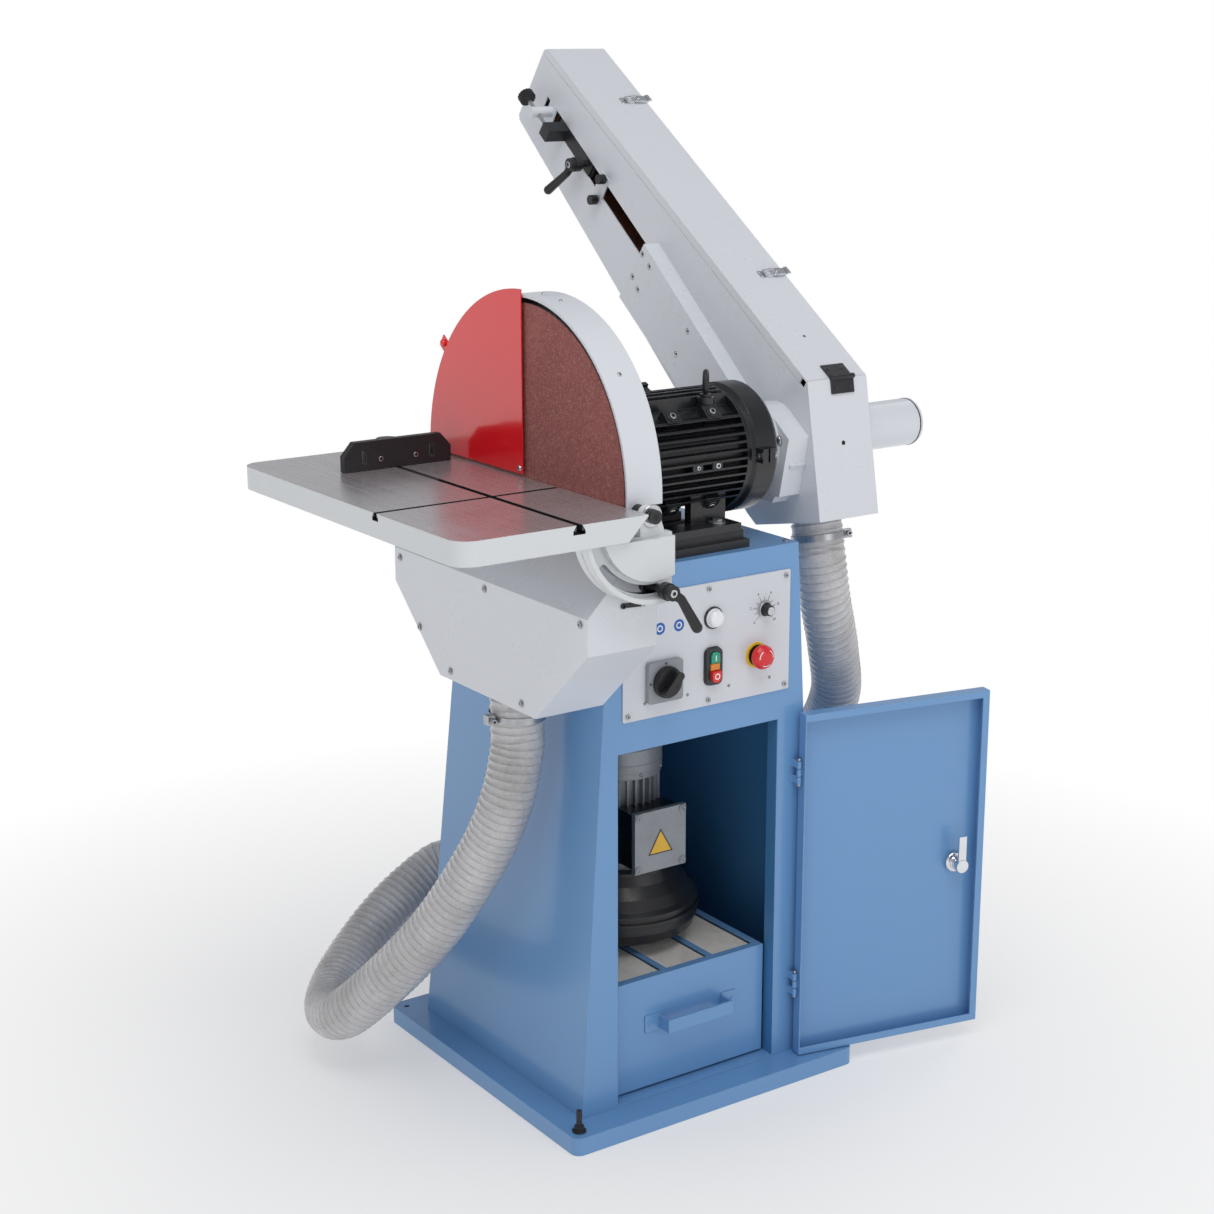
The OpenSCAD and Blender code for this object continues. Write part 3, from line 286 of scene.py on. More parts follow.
# ------------------------------------------------------------------ general materials
MAT = {
    # edge colours are wear; where a paint's edges only turn a lighter tint of it, painted
    # highlight
    "blue": surface(
        "blue_enamel", (108, 155, 204), rough=0.24, tone=(1.6, 0.012), fine=(700.0, 0.006),
        rough_var=0.012, peel=(520.0, 0.00004), edge=((178, 204, 232), 0.55, 60.0),
        bevel=0.0012, coat=0.25),
    # a darker copy of the blue: painted shade inside the cabinet
    "blue_in": surface(
        "blue_enamel_painted_shade", (70, 128, 178), rough=0.32, tone=(1.8, 0.03), fine=(700.0, 0.01),
        rough_var=0.02, peel=(520.0, 0.00005), edge=((140, 175, 210), 0.4, 50.0), bevel=0.0012),
    "white": surface(
        "white_enamel", (218, 221, 227), rough=0.28, tone=(1.8, 0.008), fine=(700.0, 0.005),
        rough_var=0.012, peel=(520.0, 0.00004), edge=((246, 247, 250), 0.6, 70.0),
        bevel=0.0014, coat=0.2),
    "casting": surface(
        "white_painted_casting", (216, 219, 221), rough=0.38, tone=(3.0, 0.012),
        fine=(500.0, 0.012), rough_var=0.02, peel=(160.0, 0.0002), grain=(620.0, 0.0001),
        edge=((240, 241, 243), 0.5, 60.0), bevel=0.0022),
    "red": surface(
        "red_enamel", (236, 20, 32), rough=0.2, tone=(2.0, 0.012), fine=(600.0, 0.006),
        rough_var=0.012, peel=(420.0, 0.00003), edge=((240, 100, 100), 0.5, 60.0),
        bevel=0.0009, coat=0.6),
    "motor": surface(
        "black_motor_enamel", (28, 29, 32), rough=0.3, tone=(12.0, 0.15), fine=(220.0, 0.08),
        peel=(260.0, 0.0002), grain=(900.0, 0.00008), edge=((120, 122, 128), 0.55, 80.0),
        bevel=0.0011, coat=0.15),
    "black_iron": surface(
        "black_oxide_iron", (34, 34, 37), rough=0.42, tone=(14.0, 0.15), fine=(240.0, 0.08),
        peel=(220.0, 0.0002), grain=(800.0, 0.00012), edge=((125, 125, 130), 0.5, 90.0),
        bevel=0.0012),
    "plastic": surface(
        "black_moulded_plastic", (26, 26, 28), rough=0.38, tone=(20.0, 0.12), fine=(400.0, 0.06),
        peel=(1500.0, 0.00006), edge=((90, 90, 94), 0.35, 120.0), bevel=0.0009),
    "rubber": surface(
        "black_fan_moulding", (30, 30, 32), rough=0.33, tone=(15.0, 0.12), fine=(300.0, 0.06),
        peel=(600.0, 0.00008), edge=((95, 95, 100), 0.35, 90.0), bevel=0.0015),
    "steel": surface(
        "bright_steel", (196, 198, 202), rough=0.22, metal=1.0, tone=(30.0, 0.06),
        fine=(500.0, 0.04), peel=(900.0, 0.00002)),
    "chrome": surface(
        "chrome_plate", (226, 228, 232), rough=0.1, metal=1.0, tone=(30.0, 0.04),
        fine=(500.0, 0.02), peel=(300.0, 0.00002), rough_var=0.03),
    "zinc": surface(
        "zinc_plate", (178, 180, 184), rough=0.3, metal=0.9, tone=(60.0, 0.12),
        fine=(700.0, 0.06), peel=(700.0, 0.00003)),
    "turned": surface(
        "turned_steel", (160, 162, 166), rough=0.28, metal=1.0, tone=(20.0, 0.08),
        fine=(400.0, 0.05), peel=None, bevel=0.0008,
        stretch=((2500.0, 30.0, 30.0), 0.35, 0.00002)),
    # near-black for the insides of sockets, slots and recesses: painted shade
    "recess": surface(
        "painted_socket_shade", (20, 20, 22), rough=0.6, tone=(60.0, 0.2), fine=(600.0, 0.1), bevel=0),
    # near-black for the insides of holes: painted shade
    "hole_shade": surface(
        "painted_bore_shade", (14, 14, 15), rough=0.8, tone=(60.0, 0.2), fine=(600.0, 0.1), bevel=0),
    "motor_grey": surface(
        "grey_cast_aluminium", (150, 154, 160), rough=0.42, metal=0.35, tone=(16.0, 0.07),
        fine=(260.0, 0.04), peel=(200.0, 0.0002), grain=(900.0, 0.0001),
        edge=((205, 208, 212), 0.5, 80.0), bevel=0.0012),
    "film": surface(
        "panel_foil", (211, 213, 220), rough=0.34, tone=(5.0, 0.015), fine=(900.0, 0.02),
        peel=(1400.0, 0.00004), edge=((150, 152, 158), 0.4, 80.0)),
    "yellow": surface(
        "yellow_collar", (236, 196, 30), rough=0.35, tone=(30.0, 0.05), fine=(400.0, 0.03),
        bevel=0.0008),
    "switch_grey": surface(
        "grey_switch_plate", (146, 150, 156), rough=0.4, tone=(30.0, 0.05), fine=(500.0, 0.04),
        peel=(1400.0, 0.00005), edge=((190, 192, 196), 0.4, 100.0), bevel=0.0008),
    "bezel": surface(
        "dark_bezel", (44, 46, 50), rough=0.36, tone=(30.0, 0.08), fine=(500.0, 0.04),
        peel=(1400.0, 0.00004), bevel=0.0008),
    "lamp": surface(
        "lamp_lens", (236, 238, 242), rough=0.22, tone=(40.0, 0.02), fine=(400.0, 0.01),
        peel=(700.0, 0.00003), bevel=0.0008, coat=0.4, subsurface=0.15),
    "estop": surface(
        "red_mushroom", (216, 24, 34), rough=0.3, tone=(30.0, 0.05), fine=(400.0, 0.02),
        bevel=0.001, coat=0.2),
    "green": surface(
        "green_cap", (22, 150, 118), rough=0.3, tone=(40.0, 0.05), fine=(400.0, 0.02), coat=0.2),
    "red_cap": surface(
        "red_cap", (222, 44, 38), rough=0.3, tone=(40.0, 0.05), fine=(400.0, 0.02), coat=0.2),
    "amber": surface(
        "amber_window", (226, 134, 22), rough=0.25, tone=(40.0, 0.06), fine=(400.0, 0.02),
        coat=0.3),
    "ink": ink("dark_ink", (52, 54, 60), rough=0.5, tone=0.08, fine=0.05),
    "white_ink": ink("white_ink", (240, 240, 240), rough=0.45, tone=0.03, fine=0.02),
    "blue_ink": ink("blue_ink", (38, 96, 176), rough=0.45, tone=0.05, fine=0.03),
    "label_yellow": ink("yellow_label", (232, 184, 60), rough=0.42, tone=0.05, fine=0.03,
                        scale=700.0, peel=1200.0),
}


# ------------------------------------------------------------------ special materials
def abrasive(name, rgb, grain_rgb):
    net = Net(name)
    base = linear(rgb)
    broad = net.noise(9.0, detail=5.0, rough=0.6)
    clogged = net.noise(120.0, detail=4.0, rough=0.7)
    cell = net.node("ShaderNodeTexVoronoi")
    net.link(net.co, cell.inputs["Vector"])
    cell.inputs["Scale"].default_value = 620.0
    grit = cell.outputs["Distance"]
    colour = net.mix(net.span(broad), shade(base, 0.86), shade(base, 1.1))
    colour = net.mix(net.span(clogged, (0.42, 0.62), to=(0.0, 0.45)), colour, shade(base, 0.62))
    grains = net.span(cell.outputs["Color"], (0.62, 0.95), to=(0.0, 0.55))
    normal = net.bump(clogged, 0.0005, 0.4, net.bump(grit, 0.0006, 0.9))
    return net.look(Base_Color=net.mix(grains, colour, linear(grain_rgb)),
                    Roughness=net.span(grit, (0.0, 0.7), to=(0.6, 0.92)),
                    Specular_IOR_Level=0.35, Normal=normal)


def ground_iron():
    """Ground along Y, with dark spots."""
    net = Net("ground_cast_iron")
    base = linear((206, 204, 207))
    scratches = net.noise(1.0, detail=5.0, rough=0.7, co=net.scaled((1400.0, 9.0, 30.0)))
    bands = net.noise(1.0, detail=3.0, rough=0.6, co=net.scaled((260.0, 3.0, 30.0)))
    broad = net.noise(5.0, detail=5.0, rough=0.6)
    spots = net.noise(70.0, detail=5.0, rough=0.75)
    colour = net.mix(net.span(broad), shade(base, 0.86), shade(base, 1.08))
    colour = net.mix(net.span(scratches, (0.3, 0.72), to=(0.0, 0.45)), colour, shade(base, 0.7))
    spotted = net.span(spots, (0.56, 0.74), to=(0.0, 0.3))
    colour = net.mix(spotted, colour, linear((104, 100, 96)))
    rough = net.math("ADD", net.span(bands, to=(0.2, 0.3)), net.span(broad, to=(0.0, 0.06)))
    normal = net.bump(scratches, 0.00003, 0.5, net.bevel(0.0008))
    return net.look(Base_Color=colour, Metallic=0.66, Roughness=rough,
                    Normal=net.bump(spots, 0.00002, 0.4, normal))


def hose_film():
    """Reads two mesh attributes: wire (1 on the wire) and along (random dirt, plus painted shade
    inside bends and in the turned-in ends).
    """
    net = Net("wire_wound_hose_film")
    wire = net.node("ShaderNodeAttribute", attribute_name="wire").outputs["Fac"]
    dirt_and_shade = net.node("ShaderNodeAttribute", attribute_name="along").outputs["Fac"]
    crinkle_and_highlight = net.noise(160.0, detail=6.0, rough=0.75)
    dust = net.noise(16.0, detail=5.0, rough=0.65)
    streak = net.noise(1.0, detail=4.0, rough=0.7, co=net.scaled((60.0, 60.0, 420.0)))
    base = linear((204, 203, 205))
    colour = net.mix(net.span(dust), shade(base, 0.76), shade(base, 1.08))
    for amount, rgb in (
            # near-white on the crinkles: painted highlight
            (net.span(crinkle_and_highlight, (0.5, 0.72), to=(0.0, 0.4)), (238, 238, 240)),
            (net.span(streak, (0.52, 0.7), to=(0.0, 0.35)), (150, 145, 142)),
            (net.math("MULTIPLY", wire, 0.7), (122, 116, 112)),
            # darker with dirt, and with painted shade inside bends and in the ends
            (net.math("MULTIPLY", dirt_and_shade, 0.25), (112, 104, 96))):
        colour = net.mix(amount, colour, linear(rgb))
    normal = net.bump(streak, 0.0006, 0.4, net.bump(crinkle_and_highlight, 0.0009, 0.7))
    return net.look(Base_Color=colour, Roughness=net.span(crinkle_and_highlight, to=(0.22, 0.42)),
                    Specular_IOR_Level=0.6, Coat_Weight=0.35, Coat_Roughness=0.18,
                    Normal=normal)


def felt():
    """Two crossing sets of fibres over soft stains."""
    net = Net("white_filter_felt")
    fibres, cross_fibres = (
        net.noise(1.0, detail=detail, rough=0.8, co=net.scaled(scale), distort=distort)
        for scale, detail, distort in (((900.0, 240.0, 500.0), 6.0, 1.4),
                                       ((220.0, 800.0, 500.0), 5.0, 1.2)))
    stain = net.span(net.noise(14.0, detail=5.0, rough=0.65), (0.45, 0.72), to=(0.0, 0.6))
    colour = net.mix(stain, linear((232, 228, 220)), linear((188, 172, 150)))
    tint = net.span(fibres, (0.35, 0.7), to=(0.0, 0.3))
    normal = net.bump(cross_fibres, 0.0007, 0.8, net.bump(fibres, 0.0007, 0.8))
    return net.look(Base_Color=net.mix(tint, colour, linear((196, 190, 180))),
                    Roughness=0.95, Sheen_Weight=0.4, Normal=normal)


MAT["grit"] = abrasive("brown_red_abrasive", (160, 96, 92), grain_rgb=(212, 160, 148))
MAT["belt_grit"] = abrasive("brown_belt_abrasive", (140, 86, 66), grain_rgb=(190, 134, 108))
MAT["ground"] = ground_iron()
# dark iron of the mitre bar, also put on the table's slot faces as painted shade
MAT["dark_iron_and_slot_shade"] = surface(
    "milled_iron_and_slot_shade", (92, 92, 94), rough=0.4, metal=0.8, tone=(20.0, 0.12),
    fine=(300.0, 0.08), peel=None, stretch=((30.0, 900.0, 900.0), 0.4, 0.00003))
MAT["hose"] = hose_film()
MAT["felt"] = felt()


# ------------------------------------------------------------------ materials of the CAD pieces
def dress(node, mats, pick=None):
    """pick(centre in mm, normal) gives a face's material as an index into mats."""
    data = NODES[node].data
    data.materials.clear()
    for mat in mats:
        data.materials.append(MAT[mat])
    for face in data.polygons:
        face.material_index = int(pick(face.center * 1000.0, face.normal)) if pick else 0


def inside_cabinet(c, n):
    if not (32 < c.z < 890 and -236 < c.y < 236):
        return False
    return (n.y > 0.9 and c.y < 0 or n.y < -0.9 and c.y > 0
            or n.x * c.x < 0 and abs(c.x) > 120 or abs(n.z) > 0.9)


def bezel_kind(c, n):
    """Yellow collar at the right, grey plate at the left, dark bezels between."""
    if c.x > 60:
        return 1
    return 0 if c.x < -40 else 2


def black_on_fan(c, n):
    """The cover on the fan motor's front, and a small piece to its right."""
    cover = -131.8 < c.y < -85.2 and abs(c.x + 13) < 49.5 and 364 < c.z < 460
    return cover or c.x > 33 and 400 < c.z < 420 and -118 < c.y < -100


def steel_of_screw(c, n):
    """Everything short of the tension screw's outer end."""
    along = Vector((c.y - MOTOR_Y, c.z - MOTOR_Z)).dot(
        Vector((math.cos(ARM_TILT), math.sin(ARM_TILT))))
    return not along > 842


def table_kind(c, n):
    """Ground top and disc-side edge, milled slots along X and Y in dark iron as painted shade,
    painted elsewhere.
    """
    if n.z > 0.9 and c.z > TABLE_Z - 0.6:
        return 1
    # slot faces take the dark iron: painted shade in the slots
    if TABLE_Z - 13 < c.z < TABLE_Z and (abs(c.x - MITRE_X) < 11.6 or abs(c.y + 204.6) < 8.6):
        return 2
    return n.x > 0.5 and c.x > -246.5


def trunnion_rim(c, n):
    radius = math.hypot(c.x - PIVOT_X, c.z - PIVOT_Z)
    return 95 < radius < 110.5 and abs(n.y) < 0.3 and c.z < 960


PLAIN_PIECES = {
    "blue": "base_tray door_panel drawer_box drawer_handle",
    "blue_in": "drawer_rails",
    "white": "disc_guard disc_housing arm_bracket arm_housing shaft_guard arm_lid",
    "red": "red_guard",
    "motor": "motor_frame motor_shields terminal_box",
    "black_iron": "levelling_feet eyebolt motor_rail drive_drum lid_hinge idler_carriage"
                  " mitre_head",
    "plastic": "carriage_lever tilt_lever_front tilt_lever_rear mitre_knob speed_knob"
               " main_switch_knob",
    "rubber": "fan_housing",
    "chrome": "latch_upper latch_lower door_lock",
    "zinc": "door_hinge_pins case_screws hose_clamps",
    "turned": "motor_bearings motor_shaft disc_plate belt_platen idler_drum impeller",
    "film": "control_panel",
    "lamp": "pilot_lamp",
    "grit": "abrasive_disc",
    "belt_grit": "sanding_belt",
    "dark_iron_and_slot_shade": "mitre_bar",
    "estop": "estop_button",
    "green": "start_button",
    "red_cap": "stop_button",
}
for mat, pieces in PLAIN_PIECES.items():
    for piece in pieces.split():
        dress(piece, [mat])
# faces inside the cabinet take the darker blue as painted shade
dress("cabinet", ["blue", "blue_in"], inside_cabinet)
dress("control_bezels", ["switch_grey", "yellow", "bezel"], bezel_kind)
dress("tilt_studs", ["black_iron", "steel"], lambda c, n: c.y < -419 or c.y > 213)
dress("fan_motor", ["motor_grey", "motor"], black_on_fan)
dress("slot_bridge", ["white", "plastic"], lambda c, n: c.x < ARM_LEFT - 3.2)
dress("tension_screw", ["plastic", "steel"], steel_of_screw)
dress("table_top", ["casting", "ground", "dark_iron_and_slot_shade"], table_kind)
dress("table_trunnions", ["casting", "turned"], trunnion_rim)


# ------------------------------------------------------------------ mesh building
def add_object(name, mesh):
    obj = bpy.data.objects.new(name, mesh)
    bpy.context.scene.collection.objects.link(obj)
    return obj


class Part:
    """Collects geometry in millimetres and makes one object of it."""

    def __init__(self, name, body, mats, slot):
        self.name, self.body, self.mats, self.slot = name, body, mats, slot
        self.bm = bmesh.new()

    def vert(self, point):
        return self.bm.verts.new(point)

    def face(self, verts, mat):
        self.bm.faces.new(verts).material_index = self.mats.index(mat)

    def lathe(self, profile, mat, frame, seg=32):
        """Turns a profile of (radius, height) about the frame's Z."""
        rings = []
        for r, z in profile:
            angles = [2 * math.pi * j / seg for j in range(seg)] if r else [0.0]
            rings.append([self.vert(frame @ Vector((r * math.cos(a), r * math.sin(a), z)))
                          for a in angles])
        for low, high in zip(rings, rings[1:]):
            for j in range(seg):
                k = (j + 1) % seg
                if len(low) == 1:
                    self.face((low[0], high[j], high[k]), mat)
                elif len(high) == 1:
                    self.face((low[j], high[0], low[k]), mat)
                else:
                    self.face((low[j], high[j], high[k], low[k]), mat)

    def prism(self, outline, z0, z1, mat, frame, chamfer=0.0):
        """Convex outline pushed along the frame's Z, its upper rim chamfered."""
        cx = sum(p[0] for p in outline) / len(outline)
        cy = sum(p[1] for p in outline) / len(outline)

        def ring(z, inset):
            out = []
            for x, y in outline:
                k = 1 - inset / math.hypot(x - cx, y - cy)
                out.append(self.vert(frame @ Vector((cx + (x - cx) * k, cy + (y - cy) * k, z))))
            return out

        rings = [ring(z0, 0.0), ring(z1 - chamfer, 0.0)]
        if chamfer:
            rings.append(ring(z1, chamfer))
        self.skin(rings, mat)

    def skin(self, rings, mat):
        """Joins rings of equal count and caps both ends."""
        seg = len(rings[0])
        for low, high in zip(rings, rings[1:]):
            for j in range(seg):
                k = (j + 1) % seg
                self.face((low[j], low[k], high[k], high[j]), mat)
        self.face(rings[0][::-1], mat)
        self.face(rings[-1], mat)

    def box(self, low, high, mat, frame, chamfer=0.0):
        outline = [(low[0], low[1]), (high[0], low[1]), (high[0], high[1]), (low[0], high[1])]
        self.prism(outline, low[2], high[2], mat, frame, chamfer)

    def tube(self, points, radius, mat, seg=8):
        """Round wire through points."""
        rings = []
        up = None
        for i, point in enumerate(points):
            ahead = points[min(i + 1, len(points) - 1)]
            tangent = (ahead - points[max(i - 1, 0)]).normalized()
            if up is None:
                up = tangent.orthogonal().normalized()
            up = (up - tangent * up.dot(tangent)).normalized()
            side = tangent.cross(up)
            angles = [2 * math.pi * j / seg for j in range(seg)]
            rings.append([self.vert(point + (up * math.cos(a) + side * math.sin(a)) * radius)
                          for a in angles])
        self.skin(rings, mat)

    def arc(self, inner, outer, start, sweep, steps, mat, frame):
        """Strip between two (radius, height) circles; angles in degrees."""
        for i in range(steps):
            a0, a1 = (math.radians(start + sweep * j / steps) for j in (i, i + 1))
            ends = ((inner, a0), (outer, a0), (outer, a1), (inner, a1))
            self.face([self.vert(frame @ Vector((r * math.cos(a), r * math.sin(a), z)))
                       for (r, z), a in ends], mat)

    # sockets are near-black by default: painted shade inside them
    def hex_socket(self, radius, top, bottom, frame, mat="recess"):
        self.lathe([(radius, top), (radius, bottom), (0, bottom)], mat, frame, 6)

    def cross(self, length, width, z0, z1, frame, spin, mat="recess"):
        """Two crossed bars of the given half length and half width, near-black by default as
        painted shade of a cross slot.
        """
        for angle in (spin, spin + math.pi / 2):
            self.box((-length, -width, z0), (length, width, z1), mat, frame @ about_z(angle))

    def cross_screw(self, pos, way, r, h, mat="zinc", dark="recess", spin=0.3):
        frame = axes(pos, way)
        dome = [(r, 0), (r * 0.98, h * 0.35), (r * 0.8, h * 0.8), (r * 0.45, h), (0, h * 1.02)]
        self.lathe(dome, mat, frame, 24)
        self.cross(r * 0.62, r * 0.12, h * 0.8, h * 1.06, frame, spin, dark)

    def socket_screw(self, pos, way, r, h, mat="steel", dark="recess"):
        frame = axes(pos, way)
        bore = r * 0.52
        self.lathe([(r, 0), (r, h - 0.14 * r), (r * 0.9, h), (bore, h)], mat, frame, 28)
        self.hex_socket(bore, h, h * 0.35, frame, dark)

    def done(self):
        bmesh.ops.recalc_face_normals(self.bm, faces=self.bm.faces)
        self.bm.transform(Matrix.Scale(MM, 4))
        mesh = bpy.data.meshes.new(self.name)
        self.bm.to_mesh(mesh)
        self.bm.free()
        for mat in self.mats:
            mesh.materials.append(MAT[mat])
        mesh.polygons.foreach_set("use_smooth", [True] * len(mesh.polygons))
        mesh.set_sharp_from_angle(angle=math.radians(30.0))
        obj = add_object(self.name, mesh)
        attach(obj, self.body)


def rounded_rect(width, height, radius, steps=6):
    out = []
    for i, (sx, sy) in enumerate(((1, 1), (-1, 1), (-1, -1), (1, -1))):
        cx, cy = sx * (width / 2 - radius), sy * (height / 2 - radius)
        for step in range(steps + 1):
            angle = math.radians(90 * i + 90.0 * step / steps)
            out.append((cx + radius * math.cos(angle), cy + radius * math.sin(angle)))
    return out


# ------------------------------------------------------------------ filter cloths
CLOTH_X, CLOTH_WIDTH, CLOTH_PITCH = -138.0, 81.0, 91.5
CLOTH_Y0, CLOTH_Y1, CLOTH_Z = -203.0, 105.0, 218.2
CLOTH_NX, CLOTH_NY = 26, 88
SAG_FRAMES = 20
SAG_LIMIT = 0.0035               # m, either way
CLOTH_LOW, CLOTH_HIGH = 0.2142, 0.2194    # m, room between the frames


def sagged(obj):
    """Simulates the cloth under gravity and returns its points."""
    modifier = obj.modifiers.new("sag", "CLOTH")
    settings = modifier.settings
    settings.quality = 5
    settings.mass = 0.25
    settings.tension_stiffness = settings.compression_stiffness = 40.0
    settings.shear_stiffness = 20.0
    settings.bending_stiffness = 2.0
    settings.vertex_group_mass = "pin"
    settings.shrink_min = -0.035
    modifier.collision_settings.use_collision = False
    cache = modifier.point_cache
    cache.frame_start, cache.frame_end = 1, SAG_FRAMES
    scene = bpy.context.scene
    for step in range(1, SAG_FRAMES + 1):
        scene.frame_set(step)
    evaluated = obj.evaluated_get(bpy.context.evaluated_depsgraph_get())
    points = np.array([v.co for v in evaluated.data.vertices])
    obj.modifiers.clear()
    scene.frame_set(1)
    return points


def filter_cloth(i):
    x0 = CLOTH_X + i * CLOTH_PITCH + 1
    row = CLOTH_NX + 1
    grid = [(a, b) for b in range(CLOTH_NY + 1) for a in range(row)]
    verts = []
    for a, b in grid:
        u, v = a / CLOTH_NX, b / CLOTH_NY
        verts.append(((x0 + (CLOTH_WIDTH - 2) * u) * MM,
                      (CLOTH_Y0 + (CLOTH_Y1 - CLOTH_Y0) * v) * MM,
                      (CLOTH_Z + 0.5 * math.sin(7 * u + 3 * v + i)) * MM))
    corners = [b * row + a for b in range(CLOTH_NY) for a in range(CLOTH_NX)]
    mesh = bpy.data.meshes.new("filter_cloth_%d" % (i + 1))
    mesh.from_pydata(verts, [], [(k, k + 1, k + row + 1, k + row) for k in corners])
    obj = add_object(mesh.name, mesh)
    rim = [k for k, (a, b) in enumerate(grid) if a in (0, CLOTH_NX) or b in (0, CLOTH_NY)]
    obj.vertex_groups.new(name="pin").add(rim, 1.0, "REPLACE")

    rest = np.array(verts)
    points = sagged(obj)
    out = rest + np.clip(points - rest, -SAG_LIMIT, SAG_LIMIT)
    # small creases that fade out at the pinned rim
    for k, (a, b) in enumerate(grid):
        u, v = a / CLOTH_NX, b / CLOTH_NY
        fade = min(1.0, 9 * min(u, 1 - u, v, 1 - v))
        place = Vector((out[k][0] * 34, out[k][1] * 26, i * 3.1))
        out[k][2] += 0.0014 * fade * noise.noise(place) + 0.0007 * fade * noise.noise(place * 3.3)
        out[k][2] = min(max(out[k][2], CLOTH_LOW), CLOTH_HIGH)
    mesh.vertices.foreach_set("co", out.astype(np.float32).ravel())
    mesh.update()
    thick = obj.modifiers.new("thick", "SOLIDIFY")
    thick.thickness = 0.0024
    thick.offset = -1.0
    smooth = obj.modifiers.new("smooth", "SUBSURF")
    smooth.levels = smooth.render_levels = 1
    mesh.materials.append(MAT["felt"])
    mesh.polygons.foreach_set("use_smooth", [True] * len(mesh.polygons))
    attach(obj, "drawer")
    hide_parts("filter_cloths")


for i in range(3):
    filter_cloth(i)

# ------------------------------------------------------------------ wire-wound hoses
HOSE_PITCH = 12.6                # of the wire
HOSE_SEG = 44
RINGS_PER_PITCH = 8.0
HOSE_RADIUS, HOSE_MAX, CLAMPED_RADIUS, END_BORE = 42.2, 42.4, 41.6, 39.6
DISC_HOSE_X = -262.0
INLET_X, INLET_Z = 112.0, 250.0  # the hoses end at -X and +X of the extractor
OUTLET_TILT = ARM_TILT + math.radians(134.04)
OUTLET_DIR = Vector((0, -math.sin(OUTLET_TILT), math.cos(OUTLET_TILT)))


def arm_outlet(distance):
    """A point on the axis of the belt arm's hose outlet."""
    y, z = rotated(6, distance, OUTLET_TILT)
    return ((ARM_LEFT + ARM_RIGHT) / 2, MOTOR_Y + y, MOTOR_Z + distance
            * math.cos(OUTLET_TILT) + 6 * math.sin(OUTLET_TILT)) if z is None else (
        (ARM_LEFT + ARM_RIGHT) / 2, MOTOR_Y + y, MOTOR_Z + z)


# stations (x, y, z) along each hose
DISC_HOSE = [
    (DISC_HOSE_X, MOTOR_Y, 689), (DISC_HOSE_X, MOTOR_Y, 636), (-263, MOTOR_Y, 606),
    (-277, -106, 530), (-300, -74, 434), (-352, -10, 300), (-405, 70, 190), (-437, 150, 112),
    (-422, 235, 88), (-356, 305, 112), (-250, 345, 178), (-150, 345, 236),
    (-INLET_X, 305, INLET_Z), (-INLET_X, 268, INLET_Z), (-INLET_X, 238, INLET_Z)]
BELT_HOSE = [
    arm_outlet(142), arm_outlet(181), arm_outlet(205), (303, -160, 762), (340, -140, 668),
    (386, -92, 566), (402, 0, 450), (372, 130, 350), (300, 250, 285), (200, 335, 254),
    (126, 330, 250), (INLET_X, 290, INLET_Z), (INLET_X, 262, INLET_Z), (INLET_X, 238, INLET_Z)]


def smooth_path(stations, step):
    """Points about step mm apart on a Catmull-Rom curve, and the curve's length."""
    p = [Vector(s) for s in stations]
    last = len(p) - 1
    dense = []
    for i in range(last):
        a = p[i - 1] if i > 0 else 2 * p[0] - p[1]
        b, c = p[i], p[i + 1]
        d = p[i + 2] if i < last - 1 else 2 * p[last] - p[last - 1]
        for k in range(40):
            t = k / 40
            dense.append(0.5 * (2 * b + (c - a) * t + (2 * a - 5 * b + 4 * c - d) * t * t
                                + (3 * b - a - 3 * c + d) * t ** 3))
    dense.append(p[last])
    reach = [0.0]
    for a, b in zip(dense, dense[1:]):
        reach.append(reach[-1] + (b - a).length)
    total = reach[-1]
    count = int(total / step)
    out, j = [], 0
    for i in range(count + 1):
        goal = total * i / count
        while j < len(reach) - 2 and reach[j + 1] < goal:
            j += 1
        f = (goal - reach[j]) / max(1e-9, reach[j + 1] - reach[j])
        out.append(dense[j].lerp(dense[j + 1], f))
    return out, total


